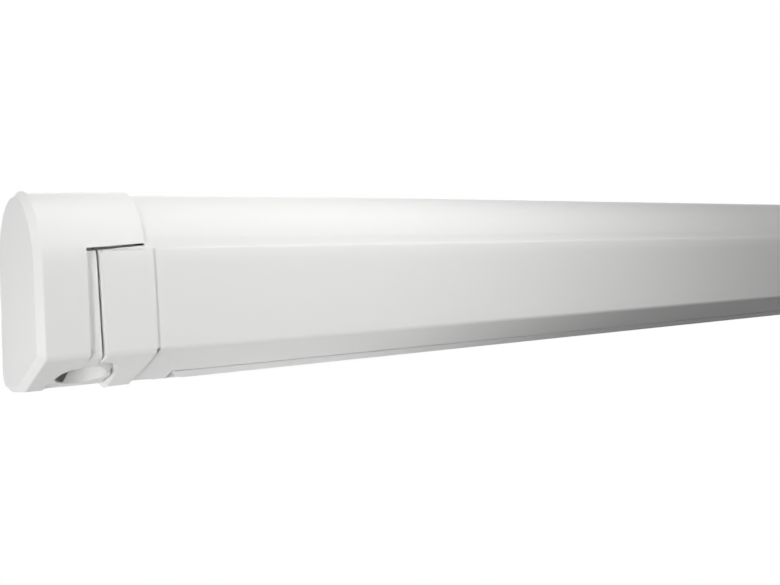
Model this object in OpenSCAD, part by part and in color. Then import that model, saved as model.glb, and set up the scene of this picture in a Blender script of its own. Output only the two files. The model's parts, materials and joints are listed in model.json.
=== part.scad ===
// Roll out awning in its closed cassette, with folding arms, roller, worm drive and support legs.
// X runs along the wall, -Y is the front, +Z is up. The wall is the plane Y = 0.
// Sections are written as (d, z): d is the distance from the wall, z the height above the case's foot.

/* [Case] */
// Overall length, end face to end face
awning_len = 2600; // [2400:50:3000]
// Height of the end caps
cap_h = 128; // [126:1:134]
// Radius of the domed top
dome_r = 46; // [45:0.5:48]
// How far the front crease stands before the dome's centre
crease_reach = 49; // [48:0.5:54]
// Height of the front crease
crease_z = 35.5; // [34:0.5:37]
// Radius of the front crease
crease_r = 4.5; // [4.5:0.25:6]
// How far the belly stands before the cap's back
belly_reach = 40; // [38:0.5:42]
// Height of the belly's centre
belly_z = 17; // [16:0.5:18]
// Radius of the belly and of the heel at the back
belly_r = 12; // [11:0.5:13]
// Gap between the wall and the cap's back
wall_gap = 8; // [7:0.5:12]
// Wall thickness of the extrusions
skin = 2; // [1.6:0.1:2.4]
// How far the caps stand proud of the extrusions
cap_proud = 2; // [1.6:0.1:2.2]
// Height of the wall bolts' centre above the case's foot
mount_z = 52; // [46:1:58]
// How far below the top casing and lead rail meet
ridge_drop = 34; // [32:0.5:36]
// Gap along the ridge
ridge_gap = 0.4; // [0.3:0.05:0.6]

/* [End caps] */
// Chamfer round the end face
cap_chamfer = 4; // [2:0.25:4]
// Thickness of the cap's end wall
cap_wall = 3; // [2:0.25:4]
// Length of the cap's top skirt
cap_skirt = 64; // [60:1:68]
// Distance from the end face to the notch for the lead rail
notch_u = 29; // [28:0.5:30]
// Gap between the notch and the top of the lead rail's cap
notch_gap = 1.6; // [1.2:0.1:2.4]
// Distance from the end face to the lead rail's cap
rail_cap_u = 36; // [36:0.5:37]
// Length of the lead rail's cap
rail_cap_len = 34; // [32:1:40]
// Depth of the recessed cheek below the cap's surface
cheek_inset = 3.2; // [3:0.1:3.5]
// Distance from the end face to the step under the crank hole
step_u = 15; // [14:0.5:16]
// Depth of that step
step_in = 1.4; // [1:0.1:1.5]

/* [Crank drive] */
// Distance from the end face to the crank's axis
crank_u = 32; // [31.5:0.5:32.5]
// Radius of the crank recess
recess_r = 15; // [13:0.5:15]
// Centre distance between roller and worm
gear_centre = 21; // [21:0.25:22]
// Teeth on the worm wheel
wheel_teeth = 12; // [10:1:14]
// Pitch radius of the worm
worm_pitch_r = 7; // [6.5:0.25:7.5]
// Radius of the worm's shaft
worm_shaft_r = 4; // [3.5:0.25:4.25]
// Thickness of the crank eye's ring
eye_wire = 5; // [4:0.5:5]
// Mean radius of the crank eye
eye_r = 8; // [7:0.5:8.5]

/* [Roller] */
// Thickness of the wound fabric
wound_t = 6.5; // [5:0.5:8]
// Gap between the full roll and the case's top
roll_gap = 5; // [4:0.5:7]
// How far the roller's axis stands behind the dome's centre
roll_back = 4; // [2:0.5:5]
// Thickness of the fabric
fabric_t = 0.5; // [0.4:0.1:0.6]
// Wall of the roller tube
tube_wall = 1.5; // [1.2:0.1:2]
// Radius of the bearing stubs
stub_r = 6; // [5:0.5:7]

/* [Arms] */
// Distance from the end face to the shoulder pin
shoulder_u = 120; // [110:5:140]
// Distance between the pins of the two folded elbows
elbow_gap = 200; // [160:10:400]
// Depth of the arm tubes
arm_w = 22; // [20:0.5:22]
// Height of the arm tubes
arm_h = 28; // [24:0.5:28]
// Wall of the arm tubes
arm_wall = 2; // [1.5:0.1:3]
// Gap between the rail's roof and the arms
roof_gap = 2.2; // [2:0.1:2.6]
// Gap between the folded arms
arm_gap = 4; // [3:0.5:4.5]
// Height of the eyes and tongues
tongue_h = 14; // [10:0.5:16]
// Radius of the arm pins
pin_r = 5; // [4:0.25:5.5]

/* [Legs] */
// How far the rail's roof over the legs lies below the front crease
roof_drop = 5.7; // [5:0.1:6]
// Distance from the end face to the leg's pivot
leg_u = 110; // [100:5:130]
// Distance from the wall to the middle of the leg bay
bay_d = 44; // [43:0.5:44.5]
// Width of the lane that each leg lies in
lane_w = 17.5; // [16.5:0.25:18]
// Width of the outer leg tube
leg_w = 15; // [13:0.5:15]
// Height of the outer leg tube
leg_h = 15; // [13:0.5:15]
// Wall of the leg tubes
leg_wall = 1.5; // [1.2:0.1:1.8]
// Gap between the feet of the two stowed legs
feet_gap = 40; // [30:5:100]
// Radius of the leg pins
leg_pin_r = 3; // [2.5:0.25:3.5]

/* [Wall brackets] */
// Distance from the centre to the outer brackets
bracket_spread = 850; // [700:10:1000]
// Width of a bracket
bracket_w = 100; // [90:1:140]
// Thickness of a bracket's plate
bracket_t = 4.5; // [3.5:0.25:4.5]
// Bolt spacing along the wall
bolt_dx = 70; // [60:1:80]
// Bolt spacing up the wall
bolt_dz = 50; // [40:1:56]
// Radius of the wall bolt holes
bolt_r = 4.2; // [3.2:0.1:5]

/* [Fits] */
// Radial clearance of turning fits
run_fit = 0.05; // [0.02:0.01:0.09]
// Gap between pieces that slide past each other
slide_gap = 0.3; // [0.3:0.05:0.4]
// Gap between pieces that are fixed together
seat_gap = 0.1; // [0.05:0.05:0.2]
// Gap along the case between the ends of neighbouring pieces
end_gap = 1.5; // [1.2:0.1:1.8]
// Radius of the screws' shanks
screw_r = 2.4; // [2:0.1:2.6]
// Radius of the screws' heads
head_r = 4.4; // [4:0.1:4.6]
// Height of the screws' heads
head_h = 2.4; // [2:0.1:2.6]

/* [Hidden] */
$fn = 48;

white = [0.93, 0.93, 0.92];
pale = [0.86, 0.86, 0.85];
grey = [0.62, 0.63, 0.65];
steel = [0.72, 0.73, 0.74];
dark = [0.2, 0.2, 0.21];
cloth = [0.6, 0.62, 0.64];

// How far a cutter runs past the face it cuts
cut = 1;
// Angle between the points of a large and of a small rounding
fine_step = 7.5;
coarse_step = 15;

// Case section
half = awning_len / 2;
dome_d = wall_gap + dome_r;
dome_z = cap_h - dome_r;
CASE = [[-wall_gap - belly_r, belly_r, belly_r],
    [-dome_d, dome_z, dome_r],
    [-dome_d - crease_reach + crease_r, crease_z, crease_r],
    [-wall_gap - belly_reach, belly_z, belly_r]];
case_inset = cap_proud;
inner_inset = cap_proud + skin;
back_d = wall_gap + inner_inset;
far_d = dome_d + crease_reach + cap_h;
ridge_z = cap_h - ridge_drop;
lip_z = ridge_z + ridge_gap;
notch_z = ridge_z + notch_gap;
screw_d = wall_gap + belly_r;
hole_r = screw_r + seat_gap;

// Heights inside the case: leg bay, arms, cloth and roll above each other
roof_top = crease_z - roof_drop;
roof_bottom = roof_top - skin;
arm_bottom = roof_top + roof_gap;
arm_z = arm_bottom + arm_h / 2;
arm_top = arm_bottom + arm_h;
step_top = arm_top + skin;
cloth_gap = 5;
keder_r = 3.4;
keder_wall = 1.6;
keder_slot = 1.6;
keder_tube_r = keder_r + keder_wall;
roll_front = 6;
roll_d = dome_d - roll_back;
room_high = (cap_h - inner_inset - roll_gap - arm_top - cloth_gap) / 2;
room_deep = dome_d + dome_r - inner_inset - roll_d - roll_front - 2 * keder_tube_r - cut;
roll_r = min(room_high, room_deep);
tube_r = roll_r - wound_t;
roll_z = cap_h - inner_inset - roll_gap - roll_r;
cloth_z = roll_z - roll_r - slide_gap - fabric_t / 2;

// Crank and worm drive
crank_d = roll_d + gear_centre;
cheek_u = rail_cap_u - end_gap;
cheek_start = 2 * cap_wall;
case_u = cheek_u + end_gap / 3;
socket_r = recess_r + skin;
socket_clear = socket_r + end_gap;
rail_u = crank_u + socket_clear + end_gap;
recess_rise = 4;
recess_top = arm_z + recess_rise;
recess_roof = 3;
step_d = crank_d + recess_r / 2;
wheel_pitch_r = gear_centre - worm_pitch_r;
worm_pitch = 2 * PI * wheel_pitch_r / wheel_teeth;
tooth_share = 0.27;
tooth_width = 0.34;
tooth_up = worm_pitch * tooth_share;
wheel_tip_r = wheel_pitch_r + tooth_up;
worm_core_r = gear_centre - wheel_tip_r - slide_gap;
worm_tip_r = worm_pitch_r + tooth_up;
wheel_root_r = gear_centre - worm_tip_r - slide_gap;
wheel_w = 6;
worm_turns = 3;
worm_sides = 14;
worm_slices = 10;
worm_len = worm_turns * worm_pitch;
gear_clear = 1.3;
worm_bore_r = worm_tip_r + gear_clear;
wheel_bore_r = wheel_tip_r + gear_clear;
wheel_bay = wheel_w / 2 + 5;
tower_r = worm_bore_r + skin;
worm_end_gap = 2;
shaft_over = 5;
shaft_dip = 4;
eye_drop = 1;
eye_collar_h = 9;
eye_collar_r = worm_shaft_r + 2.5;
drum_r = wheel_bore_r + 3;
drum_u = crank_u + 18;
stub_u = crank_u - 16;
tube_u = drum_u + 10;
flange_t = 4;
plug_len = 25;
roll_u = tube_u + 6;

// Hanging rail on the case's back and the hook that carries it
hook_z = roll_z;
rail_bar_z = hook_z + 8;
hang_d = bracket_t + 1.2;
hang_t = 2.2;
hook_d = hang_d + hang_t + 2 * slide_gap;
hook_t = 1.8;
hook_floor = 2.5;
hook_lip = 3;
hang_u = cap_skirt + end_gap;
tab_t = 1.2;
tab_head_h = head_h / 4;
tab_top = case_inset - 2 * seat_gap;
tab_front = 6;
tab_screw_len = 10;

// Arms
arm_len = half - shoulder_u - elbow_gap / 2;
shoulder_x = -half + shoulder_u;
elbow_x = shoulder_x + arm_len;
arm_back = 4;
upper_d = back_d + arm_back + arm_w / 2;
elbow_d = upper_d + (arm_w + arm_gap) / 2;
fore_d = upper_d + arm_w + arm_gap;
eye_round = arm_w / 2;
hand_round = arm_w / 2 - 1;
block_near = 18;
block_far = 26;
fork_end = 30;
fork_block = 3;
spigot = 40;
edge_r = 2;
corner_r = 4;
ear_z = tongue_h / 2 + slide_gap;
ear_over = 1;
ear_edge = 1;
pin_over = 0.8;
pin_head = 2.5;
spring_gap = 2;
spring_share = 0.7;

// Brackets at the shoulders and wrists
shoulder_half = 11;
shoulder_plate = 3.6;
shoulder_far = 38;
plate_near = 12;
shoulder_screws_x = [19, 31];
shoulder_screw_rise = arm_h / 3;
wrist_half = 10;
wrist_plate = 1.8;
wrist_far = 22;
wrist_screw_x = 16.5;
wrist_screw_rise = 5;
short_screw = 7;

// Lead rail
web_gap = 2;
web_d = fore_d + arm_w / 2 + web_gap;
upper_web_d = roll_d + roll_r + roll_front;
keder_d = upper_web_d + keder_tube_r;
bay_front = bay_d + lane_w;
bay_back = bay_d - lane_w;
front_lane = bay_d + lane_w / 2;
rear_lane = bay_d - lane_w / 2;
shelf_d = bay_back - skin - cut;
lip_back = 5;
panel_back = 3;
cap_plate = 3;
plate_d = max(upper_web_d + panel_back, crank_d + tower_r + end_gap);
scallop_top = recess_top + 6;
hem_d = upper_web_d - 2;

// Legs
leg_x = -half + leg_u;
leg_gap = 1.8;
leg_z = roof_bottom - leg_gap - leg_h / 2;
leg_eye_r = leg_h / 2 - 0.5;
leg_edge = leg_h / 2 - 1.5;
leg_corner = min(corner_r, leg_h / 4);
least_corner = 0.6;
leg_start = 16;
inner_back = 40;
leg_lip = 3;
leg_spigot = 24;
leg_total = half - leg_u - feet_gap / 2;
foot_len = 30;
foot_clear = 6;
foot_spigot = 20;
foot_edge = 0.5;
leg_end = leg_total - foot_len - foot_clear;
inner_gap = leg_wall + slide_gap;
inner_start = leg_start + inner_back;
inner_end = leg_end + 8;
eye_half = leg_w / 2 - 2;
hanger_t = 2;
hanger_half = 9;
leg_pin_over = 0.5;
collar_len = 46;
collar_edge = 0.8;
lever_t = 4;
lever_tip = 1.4;
lever_len = 40;
lever_w = leg_w - 8;
lever_z = leg_z - leg_h / 2 - collar_edge - lever_t / 2 - slide_gap;
lever_pin_r = 1.2;
hinge_x = leg_x + leg_end - 4;
lug_t = 2;
lug_foot = 3;
lug_edge = 0.5;
lug_d = lever_w / 2 + slide_gap;

// Angle of the outward normal on the line that touches circles a and b
function touch(a, b) = atan2(b[1] - a[1], b[0] - a[0])
    - acos((a[2] - b[2]) / norm([b[0] - a[0], b[1] - a[1]]));
function turn(from, to) = ((to - from) % 360 + 360) % 360;

// Outline round a list of circles [x, y, r], listed anticlockwise, drawn in by an inset
function loop(circles, inset = 0, step = fine_step) = [for (i = [0:len(circles) - 1])
    let (n = len(circles), c = circles[i], r = c[2] - inset,
        from = touch(circles[(i + n - 1) % n], c),
        swing = turn(from, touch(c, circles[(i + 1) % n])),
        steps = max(1, ceil(swing / step)))
    for (k = [0:steps]) let (a = from + swing * k / steps)
        [c[0] + r * cos(a), c[1] + r * sin(a)]];
// The four corners of a rounded box, as circles for loop()
function round_box(y, z, w, h, r) = [
    [y + w / 2 - r, z - h / 2 + r, r], [y + w / 2 - r, z + h / 2 - r, r],
    [y - w / 2 + r, z + h / 2 - r, r], [y - w / 2 + r, z - h / 2 + r, r]];

// Colours a piece and sets the case's foot below the wall bolts
module piece(tint) { color(tint) translate([0, 0, -mount_z]) children(); }
module at(x, d, z) { translate([x, -d, z]) children(); }
module along_x(x0, x1) { translate([x0, 0, 0]) rotate([90, 0, 90]) linear_extrude(x1 - x0) children(); }
module along_d(d0, d1) { translate([0, -d0, 0]) rotate([90, 0, 0]) linear_extrude(d1 - d0) children(); }
module block(x0, x1, d0, d1, z0, z1) {
    translate([x0, -d1, z0]) cube([x1 - x0, d1 - d0, z1 - z0]);
}
module rod_x(x0, x1, d, z, r) { at(x0, d, z) rotate([0, 90, 0]) cylinder(r = r, h = x1 - x0); }
module rod_d(x, d0, d1, z, r) { at(x, d0, z) rotate([90, 0, 0]) cylinder(r = r, h = d1 - d0); }
module rod_z(x, d, z0, z1, r) { at(x, d, z0) cylinder(r = r, h = z1 - z0); }
module area(d0, d1, z0, z1) { translate([-d1, z0]) square([d1 - d0, z1 - z0]); }
module section(inset) { polygon(loop(CASE, inset)); }
module ring(outer, inner) {
    difference() {
        section(outer);
        section(inner);
    }
}
module both_sides() {
    children();
    flip() children();
}
module flip() { mirror([1, 0, 0]) children(); }

// Case
module bracket_places() { for (x = [-bracket_spread, 0, bracket_spread]) translate([x, 0, 0]) children(); }
module shoulder_screw_places() {
    for (x = shoulder_screws_x, z = [-shoulder_screw_rise, shoulder_screw_rise])
        translate([shoulder_x - x, 0, arm_z + z]) children();
}
module casing_section() {
    difference() {
        ring(case_inset, inner_inset);
        area(shelf_d, far_d, -belly_r, lip_z);
    }
    // return flange behind the front lip
    intersection() {
        section(case_inset);
        area(upper_web_d + lip_back, far_d, lip_z, lip_z + skin);
    }
}
module hanging_rail() {
    area(hang_d, hang_d + hang_t, hook_z, rail_bar_z + skin);
    difference() {
        area(hang_d, dome_d, rail_bar_z, rail_bar_z + skin);
        section(inner_inset - skin / 2);
    }
}
module casing_profile() {
    piece(white) difference() {
        union() {
            along_x(-half + case_u, half - case_u) casing_section();
            along_x(-half + hang_u, half - hang_u) intersection() {
                hanging_rail();
                area(0, dome_d, 0, cap_h);
            }
        }
        bracket_places() rod_z(0, screw_d, -belly_r, 2 * belly_r, hole_r);
        both_sides() shoulder_screw_places() rod_d(0, 0, back_d + skin, 0, hole_r);
    }
}
module cap_shell() {
    front = loop(CASE, cap_chamfer);
    full = loop(CASE, 0);
    n = len(full);
    points = concat([for (p = front) [0, p[0], p[1]]],
        [for (u = [cap_chamfer, cap_skirt], p = full) [u, p[0], p[1]]]);
    sides = [for (ring = [0, n], i = [0:n - 1]) let (j = (i + 1) % n)
        each [[ring + i, ring + n + i, ring + n + j], [ring + i, ring + n + j, ring + j]]];
    polyhedron(points, concat([[for (i = [0:n - 1]) i]], [[for (i = [n - 1:-1:0]) 2 * n + i]], sides));
}
module end_cap(with_crank) {
    translate([-half, 0, 0]) difference() {
        cap_shell();
        along_x(cap_wall, case_u - seat_gap) section(cheek_inset - seat_gap);
        along_x(cap_wall + cut, cap_skirt + cut) section(case_inset - seat_gap);
        // notch for the lead rail's cap, with a wing left round the back of the crank hole
        block(notch_u, cap_skirt + cut, with_crank ? crank_d : shelf_d, far_d, -belly_r, notch_z);
        block(rail_u - end_gap, cap_skirt + cut, shelf_d, far_d, -belly_r, notch_z);
        if (with_crank) {
            rod_z(crank_u, crank_d, -belly_r, arm_z, recess_r);
            along_x(step_u, cap_skirt + cut) intersection() {
                ring(-cut, step_in);
                area(screw_d, step_d, -belly_r, crease_z);
            }
        }
    }
}
module left_end_cap() { piece(white) end_cap(true); }
module right_end_cap() { piece(white) flip() end_cap(false); }
module housing_block() {
    along_x(cheek_start, cheek_u) section(cheek_inset);
    intersection() {
        along_x(cheek_u - cut, drum_u) section(inner_inset + slide_gap);
        rod_x(cheek_u - cut, drum_u, roll_d, roll_z, drum_r);
    }
}
module stub_bore() { rod_x(stub_u - cut, drum_u + cut, roll_d, roll_z, stub_r + run_fit); }
module shaft_bore(z0, z1) { rod_z(crank_u, crank_d, z0, z1, worm_shaft_r + run_fit); }
module gear_housing() {
    worm_bay = worm_len / 2 + worm_end_gap;
    piece(pale) translate([-half, 0, 0]) difference() {
        union() {
            housing_block();
            intersection() {
                along_x(cheek_u - cut, crank_u + tower_r) section(inner_inset + slide_gap);
                block(cheek_u - cut, crank_u + tower_r, roll_d, crank_d + tower_r, recess_top - skin, cap_h);
            }
            intersection() {
                along_x(crank_u - socket_r, crank_u + socket_r) section(cheek_inset);
                rod_z(crank_u, crank_d, 0, recess_top + recess_roof, socket_r);
            }
        }
        rod_z(crank_u, crank_d, -belly_r, recess_top, recess_r);
        shaft_bore(recess_top - cut, roll_z);
        rod_z(crank_u, crank_d, roll_z - worm_bay, roll_z + worm_bay, worm_bore_r);
        shaft_bore(roll_z, roll_z + worm_len / 2 + shaft_over + cut);
        rod_x(crank_u - wheel_bay, crank_u + wheel_bay, roll_d, roll_z, wheel_bore_r);
        stub_bore();
    }
}
module idle_housing() {
    piece(pale) flip() translate([-half, 0, 0]) difference() {
        housing_block();
        stub_bore();
    }
}
module bracket_section() {
    floor_z = hook_z - seat_gap;
    area(0, bracket_t, tab_top - tab_t, rail_bar_z + 2 * skin);
    area(0, screw_d + tab_front, tab_top - tab_t, tab_top);
    area(0, hook_d + hook_t, floor_z - hook_floor, floor_z);
    area(hook_d, hook_d + hook_t, floor_z - hook_floor, rail_bar_z - hook_lip);
}
module wall_brackets() {
    piece(steel) bracket_places() difference() {
        along_x(-bracket_w / 2, bracket_w / 2) bracket_section();
        for (x = [-bolt_dx, bolt_dx], z = [-bolt_dz, bolt_dz])
            rod_d(x / 2, -cut, bracket_t + cut, mount_z + z / 2, bolt_r);
        rod_z(0, screw_d, tab_top - tab_t - cut, tab_top + cut, hole_r);
    }
}
module screw(length, head = head_h) {
    cylinder(r = screw_r, h = length);
    translate([0, 0, -head]) cylinder(r = head_r, h = head);
}
module bracket_screws() {
    piece(steel) bracket_places() at(0, screw_d, tab_top - tab_t) screw(tab_screw_len, tab_head_h);
}
module shoulder_bracket() {
    difference() {
        union() {
            at(shoulder_x, upper_d, arm_z) clevis_back(eye_round, upper_d - back_d - cut, shoulder_half);
            block(shoulder_x - shoulder_far, shoulder_x + plate_near, back_d, back_d + shoulder_plate,
                arm_bottom - ear_over, arm_top + ear_over);
        }
        shoulder_screw_places() rod_d(0, 0, back_d + 2 * shoulder_plate, 0, hole_r);
    }
}
// Ears that run back from a pin at the origin to a plate at a distance behind it
module clevis_back(round, reach, side) {
    foot = side - ear_edge;
    ears([[foot, reach, ear_edge], [-foot, reach, ear_edge], [0, 0, round]]);
}
// Ears that run forward from a pin at the origin
module clevis_front(round, reach, side) {
    foot = side - ear_edge;
    ears([[0, 0, round], [-foot, -reach, ear_edge], [foot, -reach, ear_edge]]);
}
module ears(circles) {
    difference() {
        for (z = [ear_z, -arm_h / 2 - ear_over])
            translate([0, 0, z]) linear_extrude(arm_h / 2 + ear_over - ear_z) polygon(loop(circles));
        translate([0, 0, -arm_h]) cylinder(r = pin_r + run_fit, h = 2 * arm_h);
    }
}
module left_shoulder_bracket() { piece(grey) shoulder_bracket(); }
module right_shoulder_bracket() { piece(grey) flip() shoulder_bracket(); }
// Pin through ears that stand over the arm's height by a given amount
module arm_pin(x, d, over) {
    rod_z(x, d, arm_bottom - over - pin_over, arm_top + over + pin_over, pin_r);
    rod_z(x, d, arm_top + over + seat_gap, arm_top + over + pin_over, pin_r + pin_head);
}
module shoulder_pins() { piece(steel) both_sides() arm_pin(shoulder_x, upper_d, ear_over); }
module shoulder_screws() {
    piece(steel) both_sides() shoulder_screw_places()
        at(0, back_d + shoulder_plate, 0) rotate([-90, 0, 0]) screw(short_screw);
}

// Roller and worm drive
module sleeve(u, outer, inner) {
    difference() {
        rod_x(-half + u, half - u, roll_d, roll_z, outer);
        rod_x(-half + u - cut, half - u + cut, roll_d, roll_z, inner);
    }
}
module roller_tube() { piece(grey) sleeve(tube_u, tube_r, tube_r - tube_wall); }
module fabric_roll() { piece(cloth) sleeve(roll_u, roll_r, tube_r + seat_gap); }
module worm_wheel() {
    tooth = worm_pitch * tooth_width;
    start = -half + crank_u - wheel_w / 2;
    piece(dark) difference() {
        union() {
            rod_x(start, start + wheel_w, roll_d, roll_z, wheel_root_r);
            at(start, roll_d, roll_z) rotate([90, 0, 90]) linear_extrude(wheel_w)
                for (k = [0:wheel_teeth - 1]) rotate(180 + 360 * k / wheel_teeth)
                    polygon([[wheel_root_r - cut, -tooth / 2], [wheel_pitch_r, -tooth / 2],
                        [wheel_tip_r, -tooth / 4], [wheel_tip_r, tooth / 4],
                        [wheel_pitch_r, tooth / 2], [wheel_root_r - cut, tooth / 2]]);
        }
        rod_x(-half, -half + drum_u, roll_d, roll_z, stub_r + seat_gap);
    }
}
module plug() {
    rod_x(stub_u, tube_u, roll_d, roll_z, stub_r);
    rod_x(tube_u - flange_t, tube_u - seat_gap, roll_d, roll_z, tube_r);
    rod_x(tube_u - cut, tube_u + plug_len, roll_d, roll_z, tube_r - tube_wall - seat_gap);
}
module drive_plug() { piece(dark) translate([-half, 0, 0]) plug(); }
module idle_plug() { piece(dark) flip() translate([-half, 0, 0]) plug(); }
module worm_shaft() {
    // the thread's crest faces the wheel half a pitch above and below the tooth in mesh
    phase = 270 - 180 * worm_turns;
    foot = recess_top - shaft_dip - roll_z;
    throw = (worm_tip_r - worm_core_r) / 2;
    piece(steel) at(-half + crank_u, crank_d, roll_z) {
        translate([0, 0, -worm_len / 2]) rotate(phase)
            linear_extrude(worm_len, twist = -360 * worm_turns, slices = worm_slices * worm_turns)
                translate([throw, 0]) circle(worm_tip_r - throw, $fn = worm_sides);
        translate([0, 0, foot]) cylinder(r = worm_shaft_r, h = worm_len / 2 + shaft_over - foot);
    }
}
module crank_eye() {
    top = recess_top - eye_drop;
    foot = top - eye_collar_h;
    piece(steel) translate([-half, 0, 0]) difference() {
        union() {
            at(crank_u, crank_d, foot - eye_r) rotate([90, 0, 0]) rotate_extrude()
                translate([eye_r, 0]) circle(eye_wire / 2);
            rod_z(crank_u, crank_d, foot, top, eye_collar_r);
        }
        rod_z(crank_u, crank_d, recess_top - shaft_dip - seat_gap, top + cut, worm_shaft_r + seat_gap);
    }
}

// Arms, drawn for the left side
module arm_tube(d, length_from, length_to) {
    along_x(shoulder_x + length_from, elbow_x - length_to) difference() {
        arm_outline(d, 0);
        arm_outline(d, arm_wall);
    }
}
module arm_outline(d, inset) {
    polygon(loop(round_box(-d, arm_z, arm_w, arm_h, corner_r), inset, coarse_step));
}
module arm_plug(x0, x1, d) { along_x(x0, x1) arm_outline(d, arm_wall + seat_gap); }
module arm_block(x0, x1, d) { along_x(x0, x1) arm_outline(d, 0); }
module flat_piece(circles, z0, z1) {
    translate([0, 0, z0]) linear_extrude(z1 - z0) polygon(loop(circles));
}
module pin_bore(x, d) { rod_z(x, d, arm_bottom - cut, arm_top + cut, pin_r + run_fit); }
module upper_tube() { arm_tube(upper_d, block_far + seat_gap, fork_end + seat_gap); }
module fore_tube() { arm_tube(fore_d, block_far + seat_gap, fork_end + seat_gap); }
// Eye at the shoulder or wrist end of an arm
module arm_eye(d, round) {
    edge = arm_w / 2 - edge_r;
    end = shoulder_x + block_far;
    difference() {
        union() {
            flat_piece([[shoulder_x, -d, round], [end - edge_r, -d - edge, edge_r],
                [end - edge_r, -d + edge, edge_r]], arm_z - tongue_h / 2, arm_z + tongue_h / 2);
            arm_block(shoulder_x + block_near, end, d);
            arm_plug(end - cut, end + spigot, d);
        }
        pin_bore(shoulder_x, d);
    }
}
module elbow_plan(d, z0, z1) {
    edge = arm_w / 2 - edge_r;
    side = elbow_x - fork_end + edge_r;
    flat_piece([[elbow_x, -elbow_d, eye_round], [side, -d + edge, edge_r],
        [side, -d - edge, edge_r]], z0, z1);
}
module elbow_root(d) {
    side = elbow_x - fork_end;
    arm_block(side, side + fork_block, d);
    arm_plug(side - spigot, side + cut, d);
}
module elbow_fork() {
    difference() {
        union() {
            elbow_plan(upper_d, arm_bottom, arm_z - ear_z);
            elbow_plan(upper_d, arm_z + ear_z, arm_top);
            elbow_root(upper_d);
        }
        pin_bore(elbow_x, elbow_d);
    }
}
module elbow_tongue() {
    difference() {
        union() {
            elbow_plan(fore_d, arm_z - tongue_h / 2, arm_z + tongue_h / 2);
            elbow_root(fore_d);
        }
        pin_bore(elbow_x, elbow_d);
    }
}
module arm_spring() {
    spring_r = arm_w / 2 - arm_wall - spring_gap;
    start = shoulder_x + block_far + spigot + seat_gap;
    rod_x(start, start + spring_share * arm_len, upper_d, arm_z, spring_r);
}
module left_upper_tube() { piece(white) upper_tube(); }
module right_upper_tube() { piece(white) flip() upper_tube(); }
module left_shoulder_eye() { piece(grey) arm_eye(upper_d, eye_round); }
module right_shoulder_eye() { piece(grey) flip() arm_eye(upper_d, eye_round); }
module left_elbow_fork() { piece(grey) elbow_fork(); }
module right_elbow_fork() { piece(grey) flip() elbow_fork(); }
module left_elbow_pin() { piece(steel) arm_pin(elbow_x, elbow_d, 0); }
module right_elbow_pin() { piece(steel) flip() arm_pin(elbow_x, elbow_d, 0); }
module left_arm_spring() { piece(steel) arm_spring(); }
module right_arm_spring() { piece(steel) flip() arm_spring(); }
module left_fore_tube() { piece(white) fore_tube(); }
module right_fore_tube() { piece(white) flip() fore_tube(); }
module left_elbow_tongue() { piece(grey) elbow_tongue(); }
module right_elbow_tongue() { piece(grey) flip() elbow_tongue(); }
module left_wrist_eye() { piece(grey) arm_eye(fore_d, hand_round); }
module right_wrist_eye() { piece(grey) flip() arm_eye(fore_d, hand_round); }

// Lead rail
module wrist_screw_places() {
    for (z = [-wrist_screw_rise, wrist_screw_rise])
        translate([shoulder_x - wrist_screw_x, 0, arm_z + z]) children();
}
// Where the rail's outer skin lies: the front panel and the bevel under it
module rail_front() {
    area(upper_web_d + panel_back, far_d, crease_z, ridge_z);
    area(bay_front, far_d, -belly_r, crease_z + cut);
}
module rail_webs() {
    area(upper_web_d, far_d, ridge_z - skin, ridge_z);
    area(upper_web_d, upper_web_d + skin, cloth_z + keder_r, ridge_z);
    area(web_d, keder_d + cut, step_top - skin, step_top);
    area(web_d, web_d + skin, roof_bottom, step_top);
    area(bay_back - skin, web_d + cut, roof_bottom, roof_top);
    area(bay_back - skin, bay_back, leg_z - leg_h / 2, roof_top);
    area(bay_front, bay_front + skin, 0, roof_top);
    area(keder_d + keder_r, far_d, cloth_z - skin / 2, cloth_z + skin / 2);
    translate([-keder_d, cloth_z]) circle(keder_tube_r);
}
module rail_section() {
    intersection() {
        ring(case_inset, inner_inset);
        rail_front();
    }
    intersection() {
        section(case_inset);
        difference() {
            rail_webs();
            translate([-keder_d, cloth_z]) circle(keder_r);
            area(0, keder_d, cloth_z - keder_slot / 2, cloth_z + keder_slot / 2);
        }
    }
}
module lead_rail_profile() {
    piece(white) difference() {
        along_x(-half + rail_u, half - rail_u) rail_section();
        both_sides() wrist_screw_places() rod_d(0, web_d - cut, web_d + skin + cut, 0, hole_r);
    }
}
module rail_cap(with_crank) {
    translate([-half, 0, 0]) difference() {
        union() {
            along_x(rail_cap_u, rail_cap_u + rail_cap_len) intersection() {
                ring(0, case_inset - seat_gap);
                rail_front();
            }
            along_x(rail_cap_u, rail_cap_u + cap_plate) intersection() {
                section(case_inset / 2);
                area(plate_d, far_d, 0, ridge_z);
            }
        }
        if (with_crank) {
            rod_z(crank_u, crank_d, 0, scallop_top, socket_clear);
            block(rail_cap_u - cut, crank_u + socket_clear, bay_back, crank_d, 0, scallop_top);
        }
    }
}
module left_rail_cap() { piece(white) rail_cap(true); }
module right_rail_cap() { piece(white) flip() rail_cap(false); }
module wrist_bracket() {
    difference() {
        union() {
            at(shoulder_x, fore_d, arm_z) clevis_front(hand_round, web_d - fore_d - wrist_plate, wrist_half);
            block(shoulder_x - wrist_far, shoulder_x + plate_near, web_d - wrist_plate, web_d,
                arm_bottom - ear_over, arm_top + ear_over);
        }
        wrist_screw_places() rod_d(0, web_d - 2 * wrist_plate, web_d + cut, 0, hole_r);
    }
}
module left_wrist_bracket() { piece(grey) wrist_bracket(); }
module right_wrist_bracket() { piece(grey) flip() wrist_bracket(); }
module wrist_pins() { piece(steel) both_sides() arm_pin(shoulder_x, fore_d, ear_over); }
module wrist_screws() {
    piece(steel) both_sides() wrist_screw_places()
        at(0, web_d - wrist_plate, 0) rotate([90, 0, 0]) screw(short_screw);
}
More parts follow.
